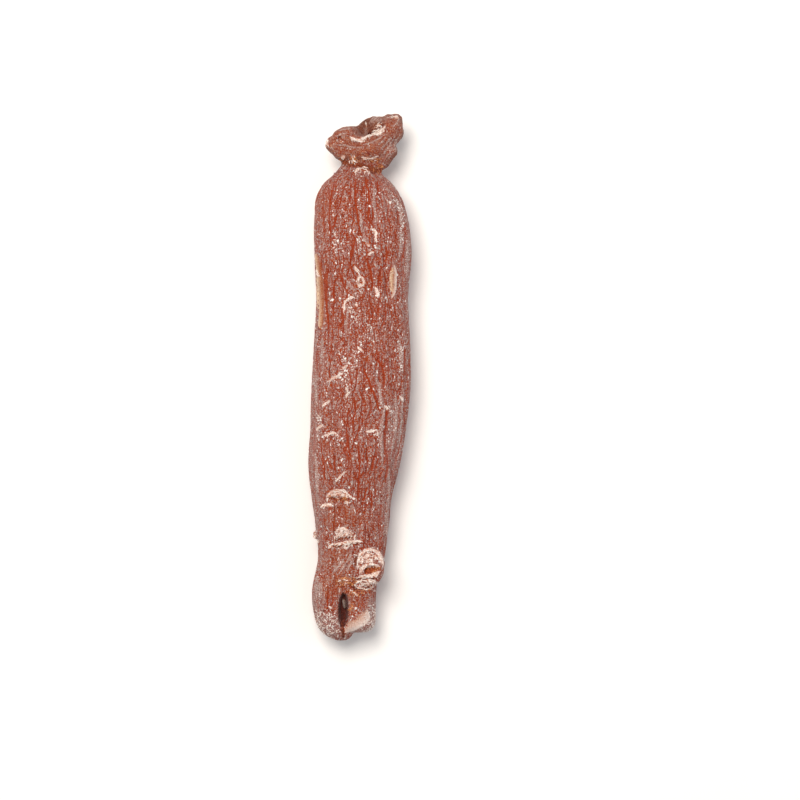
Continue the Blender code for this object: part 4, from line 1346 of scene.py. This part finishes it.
def steamed_skin_material():
    """Root skin, steamed until its starch turned to clear red-brown jelly and then dried in the sun.

    Its creases glow orange red, where the jelly shows, and its ridges are dulled by a grey bloom of
    dried juice and starch, grain by grain, with painted glints among it. Painted shade darkens the
    head's lower sides, the splits and the floors of the hollows, and painted light brightens the
    root's edges, the ridge crests and the cleft's wall. It has a low waxy sheen.
    """
    material, tree, shader, place = bare_material("steamed_dried_root_skin")
    sides = (f"{line}_side" for line in LINES)
    shows = {
        name: add(tree, "ShaderNodeAttribute", attribute_name=name).outputs["Fac"]
        for name in (*WRINKLE_GUIDES, *ZONES, *LINES, *sides, *HOLLOWS, "head", "stub", "head_shade")
    }
    cover = {name.lower(): near for name, near in wrinkles_nearness(tree, shows, WRINKLE_SIZES).items()}
    waver = add(tree, "ShaderNodeTexNoise", {"Vector": place, "Scale": 1 / WAVER_LENGTH, "Detail": 1.0})
    halved = {0: waver.outputs["Color"], 1: (0.5, 0.5, 0.5)}
    centred = add(tree, "ShaderNodeVectorMath", halved, operation="SUBTRACT")
    push = add(tree, "ShaderNodeVectorMath", {0: centred, "Scale": WAVER}, operation="SCALE")
    wavered = add(tree, "ShaderNodeVectorMath", {0: place, 1: push}, operation="ADD")
    drawn_out, long_drawn = (
        add(tree, "ShaderNodeVectorMath", {0: wavered, 1: draw}, operation="MULTIPLY")
        for draw in (GRAIN_DRAW, STREAK_DRAW)
    )
    grain, streaks, mottle = (
        add(tree, "ShaderNodeTexNoise", {"Vector": at, "Scale": 1 / size, **kind}).outputs[0]
        for at, size, kind in (
            (drawn_out, NOISE, {"Detail": 2.0, "Roughness": 0.7}),
            (long_drawn, STREAK, {"Detail": 2.0}),
            (place, MOTTLE, {"Detail": 3.0, "Roughness": 0.6}),
        )
    )
    to_edge = on_rolled_out_skin(tree, shows, push, "DISTANCE_TO_EDGE", "Distance")
    cell = on_rolled_out_skin(tree, shows, push, "F1", "Color")
    cell = add(tree, "ShaderNodeSeparateColor", {0: cell})
    dust_and_glints = add(tree, "ShaderNodeTexVoronoi", {"Vector": drawn_out, "Scale": 1 / DUST})
    dust_and_glints = add(tree, "ShaderNodeSeparateColor", {0: dust_and_glints.outputs["Color"]})
    # How light the skin is, grain by grain, and then with its broad changes.
    fine_shares = (
        (to_edge, 0.02, 0.36, -0.34, 0.30),
        (cell.outputs["Red"], 0.0, 1.0, -0.04, 0.04),
        (dust_and_glints.outputs["Red"], 0.0, 1.0, -0.17, 0.17),
        (grain, 0.34, 0.66, -0.02, 0.02),
        (streaks, 0.36, 0.64, -0.07, 0.07),
    )
    broad_shares = (
        # Frost and the painted edge sheen lighten the tone a little.
        (shows["frost_and_sheen"], 0.0, 1.0, 0.0, 0.03),
        (shows["warm"], 0.0, 1.0, 0.0, -0.05),
        (shows["head"], 0.0, 1.0, 0.0, -0.31),
        (mottle, 0.3, 0.7, -0.02, 0.02),
    )
    fine = summed(tree, 0.0, fine_shares)
    loudness = {"Value": shows["head"], 1: 0.0, 2: 1.0, 3: 1.0, 4: HEAD_LOUDNESS}
    loud = add(tree, "ShaderNodeMapRange", loudness)
    fine = add(tree, "ShaderNodeMath", {0: fine, 1: loud}, operation="MULTIPLY")
    tone = add(tree, "ShaderNodeMath", {0: fine, 1: SKIN_TONE}, operation="ADD")
    tone = summed(tree, tone, broad_shares)
    # The traced lines wobble a little. Only near one does its side count, as it flips between two.
    ragged = add(tree, "ShaderNodeMapRange", {"Value": grain, 1: 0.3, 2: 0.7, 3: -0.3, 4: 0.3})
    for name in LINES:
        moved = {0: ragged, 1: WOBBLE, 2: shows[f"{name}_side"]}
        shifted = add(tree, "ShaderNodeMath", moved, operation="MULTIPLY_ADD")
        off = add(tree, "ShaderNodeMath", {0: shifted}, operation="ABSOLUTE")
        near = add(tree, "ShaderNodeMapRange", {"Value": off, 1: 0.0, 2: 1.0, 3: 1.0, 4: 0.0})
        close = add(tree, "ShaderNodeMapRange", {"Value": shows[name], 1: 0.30, 2: 0.45, 3: 0.0, 4: 1.0})
        cover[name] = add(tree, "ShaderNodeMath", {0: near, 1: close}, operation="MULTIPLY")
    # Jelly differs less from its darkest to its lightest grain than bloomed skin does.
    even_tone = add(tree, "ShaderNodeMath", {0: tone, 1: 0.6, 2: 0.2}, operation="MULTIPLY_ADD")
    bloomed = add(tree, "ShaderNodeValToRGB", {"Fac": tone})
    fill_ramp(bloomed, SKIN_STOPS)
    jelly = add(tree, "ShaderNodeValToRGB", {"Fac": even_tone})
    fill_ramp(jelly, JELLY_STOPS)
    # Grain by grain the bloom is thicker or thinner, and the jelly under it duller or clearer.
    clearness = {"Value": dust_and_glints.outputs["Blue"], 1: 0.0, 2: 1.0, 3: 0.5, 4: 1.6}
    clearer = add(tree, "ShaderNodeMapRange", clearness)
    dulled = {"Color": bloomed.outputs["Color"], "Saturation": clearer}
    colour = add(tree, "ShaderNodeHueSaturation", dulled)
    overlays = []
    for low, high, start, end, code in BLOOM_AND_GLINT_COLOURS:
        speck = {"Value": dust_and_glints.outputs["Green"], 1: low, 2: high, 3: start, 4: end}
        overlays.append((add(tree, "ShaderNodeMapRange", speck), linear(code)))
    # The deepest of the wrinkles that cross a place shows.
    line = 0.0
    for name, low, high, strength in JELLY_LINES:
        showing = {"Value": cover[name], 1: low, 2: high, 3: 0.0, 4: strength}
        share = add(tree, "ShaderNodeMapRange", showing)
        line = add(tree, "ShaderNodeMath", {0: share, 1: line}, operation="MAXIMUM")
    overlays.append((line, jelly.outputs["Color"]))
    # Single grains are white with starch, most of them where the crumbs lie.
    whitest = add(tree, "ShaderNodeMapRange", {"Value": shows["crumbs"], 1: 0.0, 2: 1.0, 3: 0.999, 4: 0.90})
    is_white = add(tree, "ShaderNodeMath", {0: cell.outputs["Green"], 1: whitest}, operation="GREATER_THAN")
    speck = add(tree, "ShaderNodeMapRange", {"Value": to_edge, 1: 0.04, 2: 0.12, 3: 0.0, 4: is_white})
    overlays.append((speck, linear("#F3EEE8")))
    uneven = add(tree, "ShaderNodeMapRange", {"Value": fine, 1: -0.4, 2: 0.4, 3: 0.0, 4: 1.0})
    for name, low, high, strength, raggedness, side, dark, light in FINISHES:
        edge = {0: ragged, 1: raggedness, 2: cover.get(name, shows[name])}
        broken = add(tree, "ShaderNodeMath", edge, operation="MULTIPLY_ADD")
        share = add(
            tree,
            "ShaderNodeMapRange",
            {"Value": broken, 1: low, 2: high, 3: 0.0, 4: strength},
            interpolation_type="SMOOTHSTEP",
        )
        turn = uneven
        if side:
            sideways = {"Value": shows[side], 1: -0.4, 2: 0.3, 3: -0.2, 4: 0.8}
            across = add(tree, "ShaderNodeMapRange", sideways)
            turned = {0: uneven, 1: 0.4, 2: across}
            turn = add(tree, "ShaderNodeMath", turned, operation="MULTIPLY_ADD", use_clamp=True)
        pair = {0: turn, 6: linear(dark), 7: linear(light)}
        overlays.append((share, add(tree, "ShaderNodeMix", pair, data_type="RGBA").outputs[2]))
    for share, over in overlays:
        layer = {0: share, 6: colour, 7: over}
        colour = add(tree, "ShaderNodeMix", layer, data_type="RGBA").outputs[2]
    gloss = add(tree, "ShaderNodeMapRange", {"Value": tone, 1: 0.0, 2: 1.0, 3: 0.75, 4: 0.55})
    height = add(tree, "ShaderNodeMath", {0: fine, 1: line}, operation="SUBTRACT")
    bump = add(tree, "ShaderNodeBump", {"Height": height, "Distance": RELIEF, "Strength": 0.9})
    feed(tree, shader, {"Base Color": colour, "Roughness": gloss, "Normal": bump, **SKIN_SURFACE})
    return material


def crumb_material(name, light, dark, roughness):
    """A dry crumb of starch or a chip of bark: chalky, with darker blotches at random."""
    material, tree, shader, place = bare_material(name)
    blotches = add(tree, "ShaderNodeTexNoise", {"Vector": place, "Scale": 1 / (0.5 * MM), "Detail": 2.0})
    share = add(tree, "ShaderNodeMapRange", {"Value": blotches.outputs[0], 1: 0.35, 2: 0.65, 3: 0.0, 4: 1.0})
    colour = add(tree, "ShaderNodeMix", {0: share, 6: linear(dark), 7: linear(light)}, data_type="RGBA")
    feed(tree, shader, {"Base Color": colour.outputs[2], "Roughness": roughness})
    return material


def fibre_material():
    """Torn root fibre: stringy and dull, bleached at its tips and stained orange brown where it is
    still rooted in the jelly."""
    material, tree, shader, place = bare_material("torn_root_fibre")
    paleness = add(tree, "ShaderNodeAttribute", attribute_name="paleness").outputs["Fac"]
    stains = add(tree, "ShaderNodeTexNoise", {"Vector": place, "Scale": 1 / (0.4 * MM), "Detail": 2.0})
    stain = add(tree, "ShaderNodeMapRange", {"Value": stains.outputs[0], 1: 0.35, 2: 0.65, 3: -0.3, 4: 0.3})
    share = add(tree, "ShaderNodeMath", {0: paleness, 1: stain}, operation="ADD", use_clamp=True)
    colour = add(tree, "ShaderNodeValToRGB", {"Fac": share})
    fill_ramp(colour, ((0.0, "#741C04"), (0.42, "#C0642C"), (0.90, "#F1E6DC")))
    feed(tree, shader, {"Base Color": colour.outputs["Color"], "Roughness": 0.75})
    return material


# The floor's width, and the size of the faint clouds in its white, in metres.
FLOOR_WIDTH = 3.0
CARD_CLOUDS = 30 * MM
# The camera looks straight down from its height. At the height where it looks, the picture is as
# wide as the field, and its middle is at this side and this place along the root.
FIELD = 181.84 * MM
FIELD_MIDDLE = (9.2, -5.2)
CAMERA_HEIGHT = 0.7
LOOK_HEIGHT = 10.0 * MM
SENSOR = 36.0
NEAREST_SEEN = 0.01
# The lamps' places in metres, their widths, their watts and their colours.
LAMPS = {
    "key_lamp": ((-0.12, 0.20, 0.62), 0.30, 3.9, "#FFF8F0"),
    "side_lamp": ((0.55, 0.05, 0.35), 0.35, 0.4, "#EEF2FF"),
}
ROOM_COLOUR = "#F8F8F8"
ROOM_STRENGTH = 0.52


def lay_floor():
    """A plain pale floor of matt card, which is white with faint clouds in it."""
    material, tree, shader, place = bare_material("matt_white_card")
    clouds = add(tree, "ShaderNodeTexNoise", {"Vector": place, "Scale": 1 / CARD_CLOUDS, "Detail": 2.0})
    whites = {0: clouds.outputs[0], 6: linear("#F6F5F3"), 7: linear("#FBFAF8")}
    colour = add(tree, "ShaderNodeMix", whites, data_type="RGBA").outputs[2]
    feed(tree, shader, {"Base Color": colour, "Roughness": 0.9})
    half = FLOOR_WIDTH / 2
    corners = [(-half, -half, 0), (half, -half, 0), (half, half, 0), (-half, half, 0)]
    data = mesh_with("floor", corners, [], [(0, 1, 2, 3)], {})
    data.materials.append(material)
    floor = put("floor", data)


def light_and_camera(middle):
    """A pale room, two soft square lamps that face the root, and the camera above it."""
    world = bpy.data.worlds.new("pale_room")
    world.use_nodes = True
    tree = world.node_tree
    feed(tree, tree.nodes["Background"], {"Color": linear(ROOM_COLOUR), "Strength": ROOM_STRENGTH})
    bpy.context.scene.world = world
    for name, (place, width, watts, code) in LAMPS.items():
        lamp = bpy.data.lights.new(name, "AREA")
        lamp.size = width
        lamp.energy = watts
        lamp.color = linear(code)[:3]
        holder = put(name, lamp)
        holder.location = place
        holder.rotation_euler = (-Vector(place)).to_track_quat("-Z", "Y").to_euler()
    bpy.context.scene.view_settings.view_transform = "Standard"
    camera = bpy.data.cameras.new("camera")
    camera.sensor_width = SENSOR
    camera.lens = SENSOR * (CAMERA_HEIGHT - LOOK_HEIGHT) / FIELD
    camera.clip_start = NEAREST_SEEN
    holder = put("camera", camera)
    holder.location = (FIELD_MIDDLE[0] * MM - middle[0], FIELD_MIDDLE[1] * MM - middle[1], CAMERA_HEIGHT)
    bpy.context.scene.camera = holder


def main():
    """Builds the skin, then the bits and fibres on it, then the floor, the light and the camera."""
    points, middle, shows = skin_grid()
    bare_skin = skin_object(points, shows)
    look = steamed_skin_material()
    sizes = {**WRINKLE_SIZES, **KNOT_SIZES}
    skin = grown("root_skin_wrinkled", bare_skin, wrinkle_tree(look), sizes, look)
    bpy.data.objects.remove(bare_skin)
    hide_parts(NODE)
    pieces = [skin]
    for name, cover, cube_cells, sizes, finish in LOOSE_BITS:
        look = crumb_material(*finish)
        tree = scatter_tree(name, sizes, cover, cube_cells, look)
        pieces.append(grown(name, skin, tree, sizes, look))
    look = fibre_material()
    guides = fibre_guides(fibre_paths(middle))
    pieces.append(grown("torn_fibres", guides, fibre_tree(skin, look), FIBRE_SIZES, look))
    bpy.data.objects.remove(guides)
    for piece in pieces:
        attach(piece, BODY)
    lay_floor()
    light_and_camera(middle)


main()
